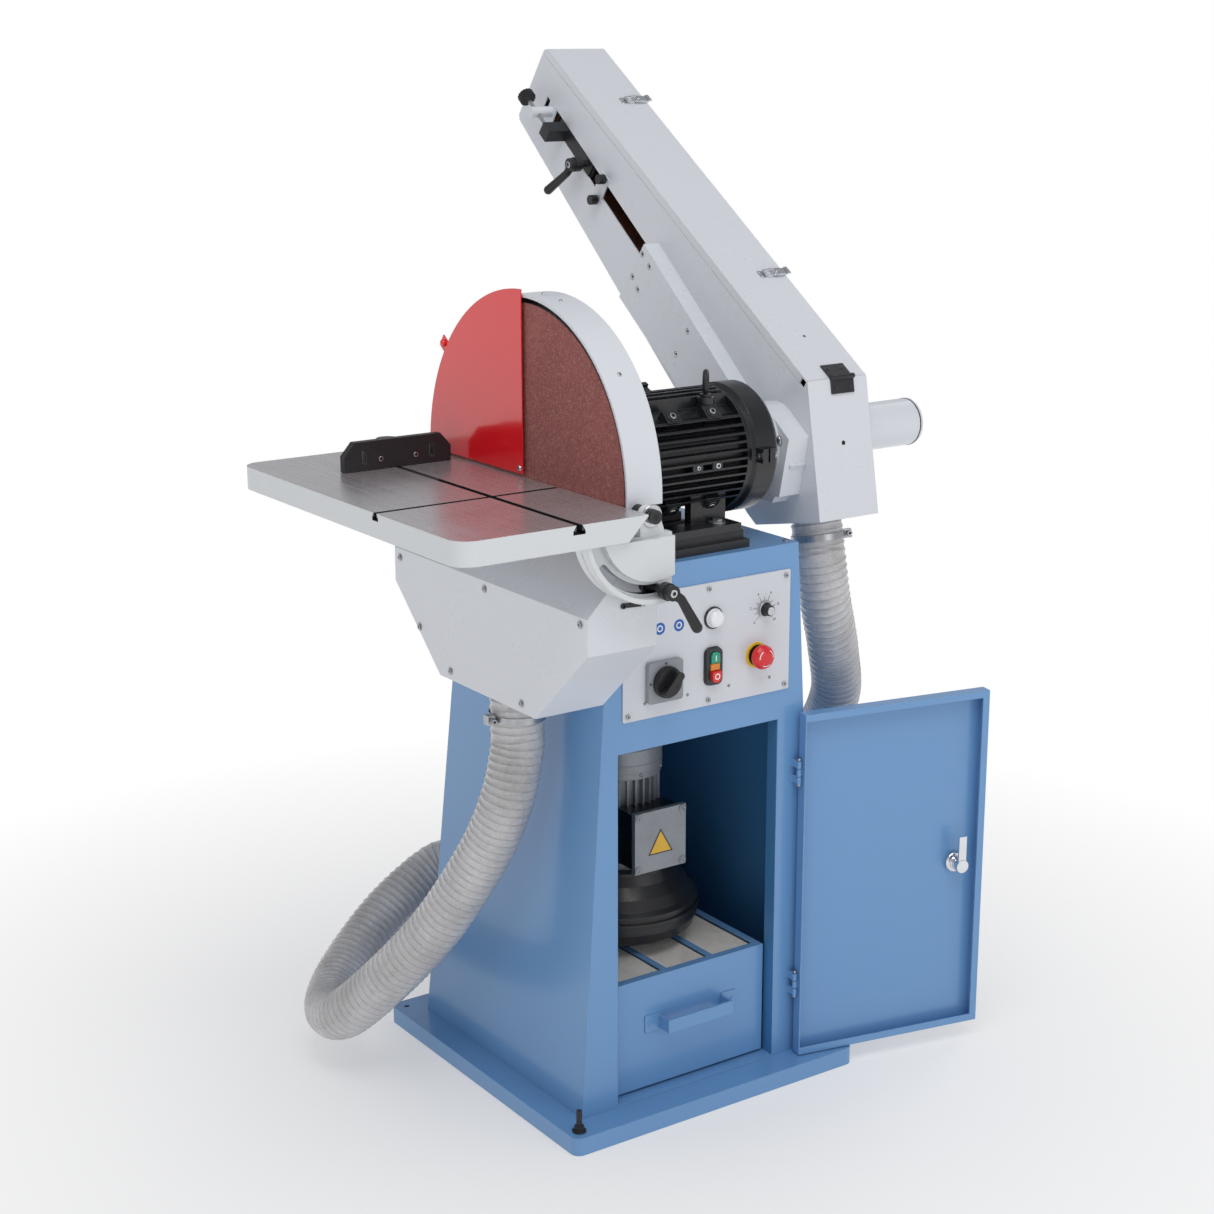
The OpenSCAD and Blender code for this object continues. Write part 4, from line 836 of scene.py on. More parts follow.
def wound_hose(name, stations, seed, clamp_at):
    """A crinkled hose, gripped by its clamp at the distance clamp_at from its start."""
    path, total = smooth_path(stations, HOSE_PITCH / RINGS_PER_PITCH)
    count, seg = len(path), HOSE_SEG
    tangents = [(path[min(i + 1, count - 1)] - path[max(i - 1, 0)]).normalized()
                for i in range(count)]
    up = tangents[0].orthogonal().normalized()
    verts, wire, dirt_and_shade = [], [], []
    for i, tangent in enumerate(tangents):
        up = (up - tangent * up.dot(tangent)).normalized()
        side = tangent.cross(up)
        s = total * i / (count - 1)
        turn = tangents[min(i + 14, count - 1)] - tangents[max(i - 14, 0)]
        grip = math.exp(-((s - clamp_at) / 9.0) ** 2)
        for j in range(seg):
            angle = 2 * math.pi * j / seg
            c, sn = math.cos(angle), math.sin(angle)
            out = up * c + side * sn
            rib = abs(2 * ((s / HOSE_PITCH - j / seg) % 1.0) - 1.0)   # 1 at the wire, 0 midway
            crest = rib ** 2.2
            inner = max(0.0, out.dot(turn) * 1.6)    # film bunches on the inside of a bend
            outer = max(0.0, -out.dot(turn) * 1.6)
            crumple = noise.noise(Vector((c * 3.1, sn * 3.1, s * 0.11 + seed)))
            crease = noise.noise(Vector((c * 9.0, sn * 9.0, s * 0.31 + seed)))
            sag = (1.9 + 1.5 * min(1.0, inner) - 0.8 * min(1.0, outer)) * (1 - crest)
            r = HOSE_RADIUS - sag + (0.55 * crumple + 0.4 * crease) * (1 - 0.65 * crest)
            r = min(HOSE_MAX, r) * (1 - grip) + CLAMPED_RADIUS * grip
            verts.append(tuple((path[i] + out * r) * MM))
            wire.append(max(0.0, 1 - (1 - rib) * 5.0))
            # random dirt patches, plus painted shade on the inside of a bend
            patch = noise.noise(Vector((c * 1.2, sn * 1.2, s * 0.012 + seed)))
            dirt_and_shade.append(min(1.0, max(0.0, 0.5 + 0.9 * patch + 0.4 * inner)))
    faces = [(i * seg + j, i * seg + (j + 1) % seg,
              (i + 1) * seg + (j + 1) % seg, (i + 1) * seg + j)
             for i in range(count - 1) for j in range(seg)]
    # turned-in ends with a short inner skin
    for end, order in ((0, 1), (count - 1, -1)):
        base = len(verts)
        for depth in (0, 12):
            i = end + order * depth
            for j in range(seg):
                out = (Vector(verts[i * seg + j]) * 1000.0 - path[i]).normalized()
                verts.append(tuple((path[i] + out * END_BORE) * MM))
                wire.append(0.0)
                # the turned-in ends are painted dark as shade
                dirt_and_shade.append(0.9)
        for j in range(seg):
            k = (j + 1) % seg
            lip = (end * seg + k, end * seg + j, base + j, base + k)
            bore = (base + k, base + j, base + seg + j, base + seg + k)
            faces += [lip[::order], bore[::order]]
    mesh = bpy.data.meshes.new(name)
    mesh.from_pydata(verts, [], faces)
    for key, values in (("wire", wire), ("along", dirt_and_shade)):
        attribute = mesh.attributes.new(key, "FLOAT", "POINT")
        attribute.data.foreach_set("value", np.array(values, np.float32))
    mesh.polygons.foreach_set("use_smooth", [True] * len(mesh.polygons))
    mesh.materials.append(MAT["hose"])
    obj = add_object(name, mesh)
    bm = bmesh.new()
    bm.from_mesh(mesh)
    bmesh.ops.recalc_face_normals(bm, faces=bm.faces)
    bm.to_mesh(mesh)
    bm.free()
    return obj


disc_hose = wound_hose("disc_dust_hose", DISC_HOSE, seed=3.0, clamp_at=30.0)
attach(disc_hose, "machine")
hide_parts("disc_hose")
belt_hose = wound_hose("belt_dust_hose", BELT_HOSE, seed=11.0, clamp_at=24.0)
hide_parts("belt_hose")
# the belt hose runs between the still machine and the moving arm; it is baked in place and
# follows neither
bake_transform(belt_hose)

# ------------------------------------------------------------------ hose clamps
CLAMP_REACH = 49.5               # hose axis to clamp screw
CLAMP_HEAD = [(5.0, 0), (5.0, 8), (4.4, 9), (0, 9)]

# band and worm screw on the arm's outlet
part = Part("arm_hose_clamp", "arm", ["zinc", "recess"], "zinc_steel")
place = axes(arm_outlet(160), OUTLET_DIR, (0.9, -0.4, 0))
band = [(42.45, 0), (43.9, 0), (43.9, 10.5), (42.45, 10.5), (42.45, 0)]
part.lathe(band, "zinc", place, 64)
part.box((40.5, -7, -2), (55, 7, 12.5), "zinc", place, 1.2)
head = axes(place @ Vector((CLAMP_REACH, 6, 5.2)), place.to_3x3() @ Vector(BACK))
part.lathe(CLAMP_HEAD, "zinc", head, 6)
part.hex_socket(2.4, 9.02, 9.2, head)
part.done()

part = Part("clamp_screws", "machine", ["zinc", "recess"], "zinc_steel")
head = axes((DISC_HOSE_X - CLAMP_REACH, MOTOR_Y - 6.5, 660), FRONT)
part.lathe(CLAMP_HEAD, "zinc", head, 6)
part.hex_socket(2.4, 9.02, 9.2, head)
for side in (-1, 1):
    head = axes((side * INLET_X + 6.5, 248.5, INLET_Z - CLAMP_REACH), RIGHT)
    part.lathe(CLAMP_HEAD, "zinc", head, 6)
part.done()

# ------------------------------------------------------------------ control panel
# (x, z) of each control
LAMP, SPEED, ESTOP = (10.3, 797.8), (110.2, 796.1), (94.5, 725.4)
BUTTONS, MAIN_SWITCH = (9.4, 721.8), (-84.0, 715.0)
DIAL_START, DIAL_SWEEP, DIAL_MARKS = 225, -270, 11    # degrees, degrees, count


def dial_angle(i):
    return math.radians(DIAL_START + DIAL_SWEEP * i / (DIAL_MARKS - 1))


part = Part("panel_dial_marks", "machine", ["ink"], "bezel")
place = axes(panel_point(*SPEED), FRONT, RIGHT)
for i in range(DIAL_MARKS):
    reach = 19.5 if i % 2 else 22.5
    part.box((14.5, -0.35, 0.02), (reach, 0.35, 0.12), "ink", place @ about_z(dial_angle(i)))
part.arc((13.6, 0.1), (14.2, 0.1), DIAL_START, DIAL_SWEEP, 40, "ink", place)
part.done()


def dial_number(i):
    text = bpy.data.curves.new("dial_number_%d" % i, "FONT")
    text.body = str(i)
    text.size = 0.0062
    text.extrude = 0.00006
    text.align_x, text.align_y = "CENTER", "CENTER"
    temporary = add_object("tmp_number", text)
    bpy.context.view_layer.update()
    depsgraph = bpy.context.evaluated_depsgraph_get()
    mesh = bpy.data.meshes.new_from_object(temporary.evaluated_get(depsgraph))
    bpy.data.objects.remove(temporary)
    angle, radius = dial_angle(i), 27.5
    pos = panel_point(SPEED[0] + radius * math.cos(angle), SPEED[1] + radius * math.sin(angle),
                      proud=0.08) * MM
    mesh.transform(Matrix.Translation(pos) @ Matrix.Rotation(math.radians(90), 4, "X"))
    mesh.materials.clear()
    mesh.materials.append(MAT["ink"])
    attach(add_object("dial_number_%d" % i, mesh), "machine")


for i in range(0, DIAL_MARKS, 2):
    dial_number(i)

# four small screws, and the crosses of the six case screws
part = Part("panel_small_screws", "machine", ["zinc", "recess"], "zinc_steel")
for x, z in ((-117.6, 683.6), (-37.3, 683.6), (42.0, 684.3), (122.2, 684.0)):
    part.cross_screw(panel_point(x, z), FRONT, 2.7, 1.3, spin=x * 0.1)
# the case screws' slots as near-black crosses: painted shade
for x in (-148, 2, 152):
    for z in (668.3, 844):
        part.cross(2.5, 0.5, -0.3, 0.12, axes(panel_point(x, z, 2.4), FRONT), 0.35 + x * 0.01)
part.done()

# two round blue symbols, and two arrowheads on the main switch plate
part = Part("panel_symbols", "machine", ["blue_ink", "white_ink", "ink"], "bezel")
for x in (-89.3, -53.9):
    place = axes(panel_point(x, 796), FRONT)
    part.lathe([(9.5, 0.02), (9.5, 0.1), (0, 0.1)], "blue_ink", place, 40)
    part.lathe([(5.2, 0.11), (5.2, 0.16), (3.4, 0.16), (3.4, 0.11)], "white_ink", place)
place = axes(panel_point(*MAIN_SWITCH, 9), FRONT, RIGHT)
for degrees in (90, 180):
    part.prism([(25.2, 0), (30, -2.8), (30, 2.8)], 0.0, 0.2, "ink",
               place @ about_z(math.radians(degrees)))
part.done()

part = Part("lamp_ring", "machine", ["bezel"], "bezel")
part.lathe([(15.1, 0), (17.4, 0), (17.4, 2.4), (16.6, 3.4), (15.1, 3.4)], "bezel",
           axes(panel_point(*LAMP), FRONT), 48)
part.done()

# pill-shaped pair of buttons: green above, amber window, red below
pill = axes(panel_point(*BUTTONS, 7), FRONT, RIGHT)
part = Part("button_window", "machine", ["amber", "bezel"], "bezel")
part.box((-8.4, -5.4, 0.02), (8.4, 5.4, 2.2), "amber", pill, 0.7)
part.prism(rounded_rect(32.5, 60.5, 10.2), -7, -3.6, "bezel", pill, 1.2)
part.done()


def half_pill(sign):
    """Outline of the upper (1) or lower (-1) cap: flat edge, then the round end."""
    points = [(-8.4, 6.1), (8.4, 6.1)]
    for i in range(13):
        angle = math.radians(15.0 * i)
        points.append((8.4 * math.cos(angle), 16.6 + 7.4 * math.sin(angle)))
    return [(x * sign, y * sign) for x, y in points]


part = Part("start_cap", "start", ["green", "white_ink"], "green_button")
part.prism(half_pill(1), 0.3, 3.6, "green", pill, 0.8)
part.box((-0.9, 9.6, 3.55), (0.9, 18.6, 3.75), "white_ink", pill)
part.done()
part = Part("stop_cap", "stop", ["red_cap", "white_ink"], "red_button")
part.prism(half_pill(-1), 0.3, 7.4, "red_cap", pill, 0.8)
part.lathe([(5.0, 7.35), (5.0, 7.55), (3.2, 7.55), (3.2, 7.35)], "white_ink",
           pill @ shift(0, -14), 36)
part.done()

part = Part("speed_knob_cap", "speed", ["steel", "white_ink"], "bright_steel")
place = axes(panel_point(*SPEED, 17), FRONT)
part.lathe([(6.9, 0), (6.9, 0.5), (6.3, 1.0), (0, 1.15)], "steel", place, 36)
part.box((-0.5, 3.2, 1.0), (0.5, 6.2, 1.3), "white_ink", place)
part.lathe([(12.2, -15), (12.2, -13.4), (11.1, -13)], "steel", place, 48)
part.done()

place = axes(panel_point(*ESTOP), FRONT)
part = Part("estop_neck", "machine", ["recess"], "bezel")
part.lathe([(7.3, 3), (16.5, 3), (16.5, 4.1), (9.4, 4.7), (7.3, 4.7)], "recess", place, 40)
part.done()
part = Part("estop_marks", "estop", ["white_ink"], "red_button")
for start in (0, 120, 240):
    part.arc((12.2, 27.25), (13.6, 26.75), start, 63, 7, "white_ink", place)
part.done()

# dot on the main switch knob and a ring round its foot
part = Part("main_switch_screw", "main_switch", ["recess", "plastic"], "black_plastic")
place = axes(panel_point(*MAIN_SWITCH, 33), FRONT)
part.lathe([(2.2, 0.02), (2.2, 0.15), (0, 0.15)], "recess", place @ shift(4, -3), 24)
part.lathe([(23.05, -16.6), (24.6, -17.6), (24.6, -22.4), (23.05, -23.3)], "plastic", place, 56)
part.done()

# ------------------------------------------------------------------ main motor
part = Part("motor_pad_screws", "machine", ["motor", "steel", "recess"], "black_casting")
for x in (-26.5, 48):
    for degrees in CORNERS:
        place = axes(*radial(degrees, 102, x))
        part.lathe([(9.2, 0), (9.2, 0.9), (8.2, 1.8), (6.2, 1.8), (6.2, 0.1)], "motor", place)
        part.lathe([(5.4, 0.02), (5.4, 2.6), (4.7, 3.3), (2.8, 3.3)], "steel", place, 28)
        part.hex_socket(2.8, 3.3, 1.6, place)
# two screws on square pads at the front
for x, r in ((39, 4.6), (2, 3.4)):
    place = axes(*radial(183, 98.4, x))
    part.prism(rounded_rect(19, 13, 3), -6, 1.8, "motor", place, 0.9)
    part.lathe([(r, 1.7), (r, 3.6), (r * 0.85, 4.2), (r * 0.5, 4.2)], "steel", place, 24)
    part.hex_socket(r * 0.5, 4.2, 2.8, place)
# clamp bolt across the lugs of the drive-end shield
place = axes((106, MOTOR_Y - 110, MOTOR_Z + 3), RIGHT)
part.lathe([(5.4, 0), (5.4, 5), (4.8, 6)], "steel", place, 6)
part.lathe([(3.0, 6), (3.0, 31)], "steel", place, 20)
part.lathe([(6.0, 30), (6.0, 35), (5.2, 36.4), (0, 36.4)], "steel", place, 6)
part.lathe([(0, 0), (5.4, 0)], "steel", place, 6)
# bolts round the drive-end shield
for degrees in CORNERS:
    pos, _ = radial(degrees, 80, 158.2)
    part.lathe([(5, -5), (5, 1.6), (4.3, 2.4), (0, 2.4)], "steel", axes(pos, RIGHT), 6)
part.done()

part = Part("terminal_lid_screws", "machine", ["steel", "recess"], "bright_steel")
place = shift(0, MOTOR_Y, MOTOR_Z) @ Matrix.Rotation(math.radians(-66), 4, "X")
for x in (-56, 46):
    for y in (-36, 58):
        part.cross_screw(place @ Vector((x, y, 136)), place.to_3x3() @ Vector(UP), 3.6, 2.2,
                         "steel", spin=x + y)
part.done()
part = Part("motor_foot_washers", "machine", ["zinc"], "zinc_steel")
washer = [(5.3, 0.02), (13.5, 0.02), (13.5, 1.8), (12.9, 2.3), (5.3, 2.3)]
for x in (-86, 54):
    for y in (-80, 80):
        part.lathe(washer, "zinc", axes((x, MOTOR_Y + y, 931), UP), 40)
part.done()

# ------------------------------------------------------------------ disc guard and housing
part = Part("guard_screws", "machine", ["steel", "recess", "red"], "bright_steel")
part.cross_screw((-247, MOTOR_Y + 8, 1036), LEFT, 4.6, 2.6, "steel")
part.lathe([(5.8, 0), (5.8, 2), (5.0, 3.6), (3.2, 4.4), (0, 4.4)], "red",
           axes(radial(37, 278, -247)[0], LEFT), 28)
for degrees in (102, 140, 55, 92):
    part.cross_screw(*radial(degrees, 262, -213), 3.4, 1.6, "steel", spin=degrees * 0.1)
part.done()

part = Part("housing_screw_slots", "machine", ["recess", "zinc"], "zinc_steel")
# y from the motor axis, z
for y, z in ((253, 862), (0, 864), (-253, 866), (196, 762), (104, 712), (-98, 712)):
    place = axes((-318.6, MOTOR_Y + y, z), LEFT)
    part.cross(2.6, 0.5, -0.4, 0.12, place, 0.5 + y * 0.01)
    part.lathe([(4.3, -2.6), (6.4, -2.6), (6.4, -1.8), (4.3, -1.6)], "zinc", place, 28)
part.done()

# ------------------------------------------------------------------ table
# angle pointer below the table's front clamp
part = Part("angle_pointer", "machine", ["black_iron", "steel", "recess"], "dark_steel")
place = axes((-239, -382.05, 886.5), FRONT, RIGHT)
part.prism(rounded_rect(30, 6.5, 1.2, 3), 0, 2.2, "black_iron",
           place @ about_z(math.radians(-3)), 0.5)
part.prism([(-4, 2.2), (4, 2.2), (0.6, 11), (-0.6, 11)], 0.1, 2.2, "black_iron",
           place @ shift(-2, 0), 0.3)
for x, y, mat in ((-17, 0.5, "black_iron"), (17, -1, "steel")):
    part.socket_screw(place @ Vector((x, y, 0)), FRONT, 4.0, 3.4, mat)
part.done()

part = Part("tilt_pivot_cap", "table", ["steel", "recess"], "bright_steel")
collar = [(10.4, 0.02), (16.5, 0.02), (16.5, 1.6), (15.6, 2.4), (10.4, 2.4)]
for y, way in ((-408, FRONT), (184, BACK)):
    part.lathe(collar, "steel", axes((PIVOT_X, y, PIVOT_Z), way), 44)
part.done()
part = Part("pivot_sockets", "machine", ["recess"], "dark_steel")
for y, way in ((-419, FRONT), (213, BACK)):
    part.hex_socket(5.2, 0.03, 0.2, axes((PIVOT_X, y, PIVOT_Z), way))
part.done()


def lever_insert(name, body, pos, way):
    part = Part(name, body, ["steel", "recess"], "bright_steel")
    place = axes(pos, way)
    part.lathe([(6.0, 0.02), (6.0, 0.9), (5.2, 1.5), (2.9, 1.5)], "steel", place, 28)
    part.hex_socket(2.9, 1.5, 0.3, place)
    part.done()


dx, dz = rotated(103, 0, math.radians(-85.3))
clamp_x, clamp_z = PIVOT_X + dx, PIVOT_Z + dz
lever_insert("front_lever_screw", "front_clamp", (clamp_x, -449, clamp_z), FRONT)
lever_insert("rear_lever_screw", "rear_clamp", (clamp_x, 225.2, clamp_z), BACK)
along, above = rotated(-86, 0, CARRIAGE_SLOT_TILT)
lever_insert("carriage_lever_screw", "carriage_clamp",
             arm_point(ARM_LEFT - 37, 757 + along, 40 + above), LEFT)

# scale on the mitre gauge's half-round base, and fence bolts
part = Part("mitre_scale", "mitre", ["white_ink", "steel", "recess"], "bright_steel")
place = axes((MITRE_X, MITRE_Y, TABLE_Z + 8.6), UP, RIGHT)
for i in range(25):
    part.box((54 if i % 4 else 50, -0.3, 0.01), (60, 0.3, 0.1), "white_ink",
             place @ about_z(math.radians(12 + 6.5 * i)))
for x in (-30, 30):
    part.socket_screw((MITRE_X + x, MITRE_Y - 34, TABLE_Z + 16), FRONT, 4.2, 2.0)
part.done()
part = Part("mitre_pointer", "mitre_slider", ["steel"], "bright_steel")
part.prism([(-5, -12), (5, -12), (5, 0), (0, 8), (-5, 0)], 0, 1.2, "steel",
           axes((MITRE_X, MITRE_Y + 76, TABLE_Z + 0.05), UP, RIGHT), 0.3)
part.done()

# ------------------------------------------------------------------ belt arm
ABOVE = arm_dir(0, 0, 1)
LATCH_X = ARM_RIGHT - 24
RIVET = [(1.9, 0), (1.8, 0.7), (1.0, 1.1)]


def latch(name, along):
    """Wire bail on the toggle, keeper on the lid and base plate on the arm's right side."""
    part = Part(name + "_latch_bail", name + "_latch", ["chrome", "steel"], "bright_steel")
    for side in (-6.6, 6.6):
        wire = ((20, 1.0), (8, 2.2), (-4, 2.4), (-15, 1.0), (-19, 0.4))    # x, height
        part.tube([arm_point(LATCH_X + x, along + side, 129.6 + z) for x, z in wire],
                  1.1, "chrome")
    part.tube([arm_point(LATCH_X - 19, along + side, 130.0) for side in (-6.6, -3, 0, 3, 6.6)],
              1.1, "chrome")
    place = axes(arm_point(LATCH_X + 12, along, 130.8), ABOVE, RIGHT)
    part.prism(rounded_rect(22, 13, 2.6), 0, 1.4, "chrome", place, 0.6)
    part.lathe([(2.6, 1.3), (2.6, 2.2), (1.9, 2.8), (0, 2.8)], "steel", place @ shift(-6, 0), 20)
    part.done()

    part = Part(name + "_latch_keeper", "lid", ["chrome", "steel"], "bright_steel")
    place = axes(arm_point(LATCH_X - 22, along, LID_TOP), ABOVE, RIGHT)
    part.prism(rounded_rect(15, 17, 2.0), 0.02, 1.5, "chrome", place, 0.5)
    part.box((3.4, -6, 1.4), (5.4, 6, 4.4), "chrome", place, 0.4)
    for y in (-5, 5):
        part.lathe(RIVET + [(0, 1.2)], "steel", place @ shift(-3, y, 1.4), 18)
    part.done()

    part = Part(name + "_latch_base", "arm", ["chrome", "steel"], "bright_steel")
    place = axes(arm_point(ARM_RIGHT, along, 117), RIGHT, arm_dir(0, 1, 0))
    part.prism(rounded_rect(18, 21, 2.0), 0.02, 1.6, "chrome", place @ shift(0, -5), 0.5)
    for x in (-5, 5):
        part.lathe(RIVET + [(0, 1.2)], "steel", place @ shift(x, -11, 1.5), 18)
    part.done()


latch("upper", 723.0)
latch("lower", 248.0)

HINGE_ALONG, HINGE_ABOVE = -6, 130
part = Part("lid_hinge_leaf", "lid", ["black_iron", "steel"], "black_plastic")
place = axes(arm_point(300, 12, LID_TOP), ABOVE, RIGHT)
part.box((-23, -13, 0.02), (23, 13, 2.4), "black_iron", place, 0.5)
for side in (-1, 1):
    part.cross_screw(place @ Vector((side * 14, 3, 2.3)), ABOVE, 3.0, 1.4,
                     "black_iron", dark="black_iron", spin=side)
part.done()
part = Part("arm_hinge_leaf", "arm", ["black_iron"], "black_plastic")
slope = math.radians(45.65)
leaf_dir = arm_dir(0, -math.sin(slope), math.cos(slope))
place = axes(arm_point(300, HINGE_ALONG - 17 * math.cos(slope),
                       HINGE_ABOVE - 17 * math.sin(slope)), leaf_dir, RIGHT)
for side in (-1, 1):
    part.cross_screw(place @ Vector((side * 14, 0, -0.25)), leaf_dir, 3.0, 1.4,
                     "black_iron", dark="black_iron", spin=side)
# knuckle rings
for x in (277, 293, 309):
    part.lathe([(3.62, 0), (4.3, 0.4), (4.3, 13.2), (3.62, 13.6)], "black_iron",
               axes(arm_point(x, HINGE_ALONG, HINGE_ABOVE), RIGHT), 24)
part.done()


def small_hole(name, body, pos, way, r):
    part = Part(name, body, ["zinc", "hole_shade"], "grey_paint")
    place = axes(pos, way)
    part.lathe([(r + 0.5, 0.02), (r + 0.4, 0.14), (r, 0.14)], "zinc", place, 28)
    # a near-black disc across the hole: painted shade
    part.lathe([(r, 0.12), (0, 0.1)], "hole_shade", place, 28)
    part.done()


# the arm's sloping lower end, as (along, above), and its outward normal
end_top, end_bottom = Vector((-5.7, 126.4)), Vector((-159.7, -31.1))
edge = end_bottom - end_top
outward = Vector((edge.y, -edge.x)).normalized()
hole = end_top.lerp(end_bottom, 0.46)
small_hole("arm_small_holes", "arm", arm_point(293, *hole), arm_dir(0, *outward), 3.4)
small_hole("lid_small_holes", "lid", arm_point(293, 96, LID_TOP), ABOVE, 2.2)

part = Part("bracket_sockets", "arm", ["steel", "recess"], "bright_steel")
BRACKET_HOLES = ((418, 40), (391, 35.5), (419, -9), (395, -17), (247, 17), (250, -35))
for along, above in BRACKET_HOLES:
    place = axes(arm_point(200, along, above), LEFT)
    part.lathe([(5.2, 0.02), (5.9, 0.2), (5.9, 0.02)], "steel", place, 28)
    part.lathe([(4.9, -3.4), (4.9, -1.4), (4.2, -0.8), (2.4, -0.8)], "steel", place, 24)
    part.hex_socket(2.4, -0.8, -2.6, place)
place = axes(arm_point(190, -43, 42), LEFT)
part.lathe([(8.6, 0.02), (8.6, 3.4), (7.8, 4.4), (4.4, 4.4)], "steel", place)
part.hex_socket(4.4, 4.4, 1.6, place)
part.done()

part = Part("shaft_guard_rim", "arm", ["bezel", "white", "steel"], "dark_steel")
place = axes((0, MOTOR_Y, MOTOR_Z), RIGHT)
part.lathe([(38.9, 506.4), (39.5, 506.8), (39.5, 508.6), (38.9, 509.0)], "bezel", place, 64)
part.lathe([(30.0, 513.02), (30.0, 513.5), (26, 513.8), (0, 513.8)], "white", place, 56)
for degrees in (40, 220):
    pos, _ = radial(degrees, 44.5, ARM_RIGHT + 3)
    # their sockets take the dark bezel colour as painted shade
    part.socket_screw(pos, RIGHT, 3.2, 2.2, dark="bezel")
part.done()

# ------------------------------------------------------------------ extractor
part = Part("terminal_cover_label", "machine", ["label_yellow", "ink"], "motor_grey")
place = axes((-13, -141, 408), FRONT, RIGHT)
part.prism([(-24, -19), (24, -19), (0, 22.6)], 0.02, 0.35, "ink", place)
part.prism([(-20.4, -17), (20.4, -17), (0, 18.4)], 0.3, 0.5, "label_yellow", place)
part.done()

part = Part("terminal_cover_screws", "machine", ["zinc", "recess", "motor_grey"], "zinc_steel")
for x in (-56, 30):
    for z in (368, 456):
        place = axes((x, -143.5, z), FRONT)
        part.box((-2.7, -0.5, -0.2), (2.7, 0.5, 0.12), "recess", place @ about_z(x + z))
        part.lathe([(4.55, -2.6), (6.8, -2.5), (6.8, -1.2), (4.55, -0.9)], "motor_grey",
                   place, 28)
# fan cowl screws and seam
COWL_X, COWL_Y = -15, -35
for degrees in (-150, -95, -40, 30, 100):
    x, y = rotated(1, 0, math.radians(degrees))
    part.cross_screw((COWL_X + 64 * x, COWL_Y + 64 * y, 509.5), (x, y, 0), 3.4, 2.0,
                     spin=degrees)
part.lathe([(66, -1.5), (66.7, -1.2), (66.7, 1.2), (66, 1.5)], "motor_grey",
           axes((COWL_X, COWL_Y, 526), UP), 64)
part.done()

# ------------------------------------------------------------------ drawer and door
part = Part("handle_bolts", "drawer", ["blue", "recess"], "blue_paint")
for x in (-91, 73):
    part.lathe([(3.4, 0), (3.3, 1.2), (2.4, 2.2), (0, 2.5)], "blue",
               axes((x, -220.2, 144), FRONT), 24)
part.done()

lock_dir = Vector((*rotated(0, 1, DOOR_OPEN), 0))
part = Part("door_lock_key", "lock", ["chrome", "recess"], "bright_steel")
place = axes(door_point(LOCK_X, -233, LOCK_Z), lock_dir, UP)
part.lathe([(9.0, -2), (9.0, 0.4), (8.2, 1.2), (4.6, 1.2)], "chrome", place, 36)
part.hex_socket(4.6, 1.2, 0.2, place)
part.done()
part = Part("door_lock_escutcheon", "lock", ["chrome"], "bright_steel")
part.lathe([(9.2, -0.6), (17.2, -0.6), (17.2, 0.8), (16.2, 2.0), (11.5, 3.0), (11.5, 6.5),
            (10.5, 7.5), (9.2, 7.5)], "chrome",
           axes(door_point(LOCK_X, -255.8, LOCK_Z), lock_dir, UP), 48)
part.done()

part = Part("hinge_bolts", "machine", ["zinc"], "zinc_steel")
for z in (135, 500):
    part.lathe([(3.4, 0), (3.6, 0.5), (3.6, 2.2), (2.9, 3.0), (0, 3.0)], "zinc",
               axes((HINGE_X, HINGE_Y, z + 39.9), UP), 24)
part.done()

# ------------------------------------------------------------------ floor
FLOOR_HALF, FLOOR_Z = 14.0, -0.0005       # m


def pale_floor():
    """Takes shadows near the machine and glows white further off."""
    net = Net("pale_floor")
    tone = net.mix(net.span(net.noise(0.7)), (0.9, 0.9, 0.91), (0.93, 0.93, 0.93))
    net.look(Roughness=0.9, Specular_IOR_Level=0.1, Base_Color=tone)
    glow = net.node("ShaderNodeEmission")
    glow.inputs["Color"].default_value = (1, 1, 1, 1)
    glow.inputs["Strength"].default_value = 1.0
    distance = net.node("ShaderNodeVectorMath", operation="LENGTH")
    net.link(net.co, distance.inputs[0])
    mixer = net.node("ShaderNodeMixShader")
    net.link(net.span(distance.outputs["Value"], (0.35, 1.7), to=(0.35, 1.0)), mixer.inputs[0])
    net.link(net.bsdf.outputs[0], mixer.inputs[1])
    net.link(glow.outputs[0], mixer.inputs[2])
    net.link(mixer.outputs[0], net.out.inputs[0])
    return net.material


mesh = bpy.data.meshes.new("floor")
mesh.from_pydata([(x * FLOOR_HALF, y * FLOOR_HALF, FLOOR_Z)
                  for x, y in ((-1, -1), (1, -1), (1, 1), (-1, 1))], [], [(0, 1, 2, 3)])
mesh.polygons.foreach_set("use_smooth", [False])
floor = add_object("floor", mesh)
mesh.materials.append(pale_floor())

# ------------------------------------------------------------------ world
# grey by upward direction: (position, colour)
SKY = ((0.0, (0.50, 0.51, 0.53)), (0.04, (0.98, 0.98, 1.0)), (0.3, (0.80, 0.81, 0.84)),
       (0.6, (0.48, 0.49, 0.51)), (1.0, (0.66, 0.67, 0.69)))


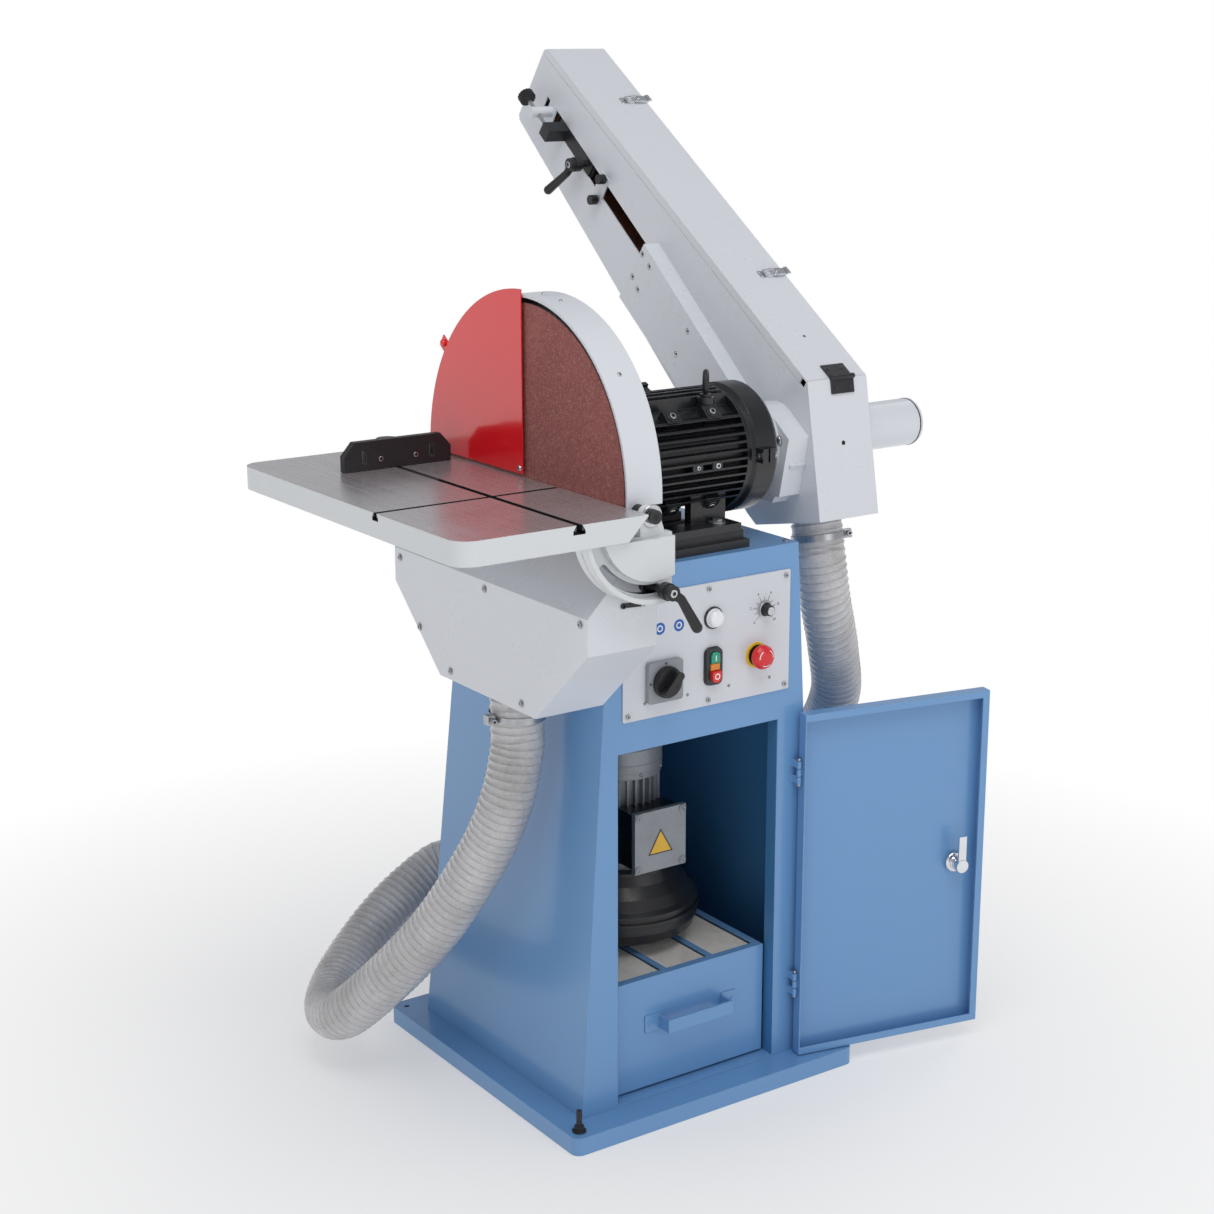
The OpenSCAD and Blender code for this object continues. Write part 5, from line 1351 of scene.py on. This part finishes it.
def studio_world():
    """White to the camera, a soft vertical ramp to everything else."""
    world = bpy.data.worlds.new("studio")
    bpy.context.scene.world = world
    world.use_nodes = True
    nodes, link = world.node_tree.nodes, world.node_tree.links.new
    nodes.clear()
    out = nodes.new("ShaderNodeOutputWorld")
    white = nodes.new("ShaderNodeBackground")
    white.inputs["Color"].default_value = (1, 1, 1, 1)
    white.inputs["Strength"].default_value = 1.0
    sky = nodes.new("ShaderNodeBackground")
    sky.inputs["Strength"].default_value = 0.62
    coords = nodes.new("ShaderNodeTexCoord")
    split = nodes.new("ShaderNodeSeparateXYZ")
    ramp = nodes.new("ShaderNodeValToRGB")
    elements = ramp.color_ramp.elements
    for i, (position, colour) in enumerate(SKY):
        element = elements[i] if i < 2 else elements.new(position)
        element.position = position
        element.color = (*colour, 1)
    rays = nodes.new("ShaderNodeLightPath")
    mixer = nodes.new("ShaderNodeMixShader")
    link(coords.outputs["Generated"], split.inputs[0])
    link(split.outputs[2], ramp.inputs[0])
    link(ramp.outputs[0], sky.inputs[0])
    link(rays.outputs["Is Camera Ray"], mixer.inputs[0])
    link(sky.outputs[0], mixer.inputs[1])
    link(white.outputs[0], mixer.inputs[2])
    link(mixer.outputs[0], out.inputs[0])


studio_world()

# ------------------------------------------------------------------ lights
# name, place, aim, (width, height) in m, watts
LIGHTS = (
    ("key_top", (-0.8, -1.6, 3.9), (0.0, -0.1, 0.9), (2.6, 2.2), 52),
    ("fill_left", (-3.6, -1.2, 1.8), (0.0, 0.0, 0.8), (1.6, 2.6), 3),
    ("fill_front", (0.6, -4.0, 1.5), (0.0, 0.0, 0.7), (2.2, 2.0), 13),
    ("rim_right", (3.2, 0.8, 2.4), (0.1, 0.0, 0.9), (1.4, 2.2), 14),
)
for name, place, aim, size, watts in LIGHTS:
    light = bpy.data.lights.new(name, "AREA")
    light.shape = "RECTANGLE"
    light.size, light.size_y = size
    light.energy = watts
    lamp = add_object(name, light)
    lamp.location = place
    lamp.rotation_euler = (Vector(aim) - Vector(place)).to_track_quat("-Z", "Y").to_euler()

# ------------------------------------------------------------------ camera
CAMERA_PLACE = (-1.9091, -2.7347, 1.6525)
YAW, PITCH, ROLL = math.radians(-34.29), math.radians(-14.80), math.radians(-0.21)

forward = Vector((-math.sin(YAW) * math.cos(PITCH), math.cos(YAW) * math.cos(PITCH),
                  math.sin(PITCH)))
level = forward.cross(Vector(UP)).normalized()
upright = level.cross(forward)
camera_x = level * math.cos(ROLL) + upright * math.sin(ROLL)
camera_y = -level * math.sin(ROLL) + upright * math.cos(ROLL)
lens = bpy.data.cameras.new("camera")
camera = add_object("camera", lens)
matrix = Matrix((camera_x, camera_y, -forward)).transposed().to_4x4()
matrix.translation = Vector(CAMERA_PLACE)
camera.matrix_world = matrix
lens.sensor_width = 36.0
lens.lens = 63.53
lens.shift_x = 0.0109
lens.shift_y = -0.0039
lens.clip_end = 60.0
scene = bpy.context.scene
scene.camera = camera
scene.view_settings.view_transform = "Standard"
scene.view_settings.look = "None"
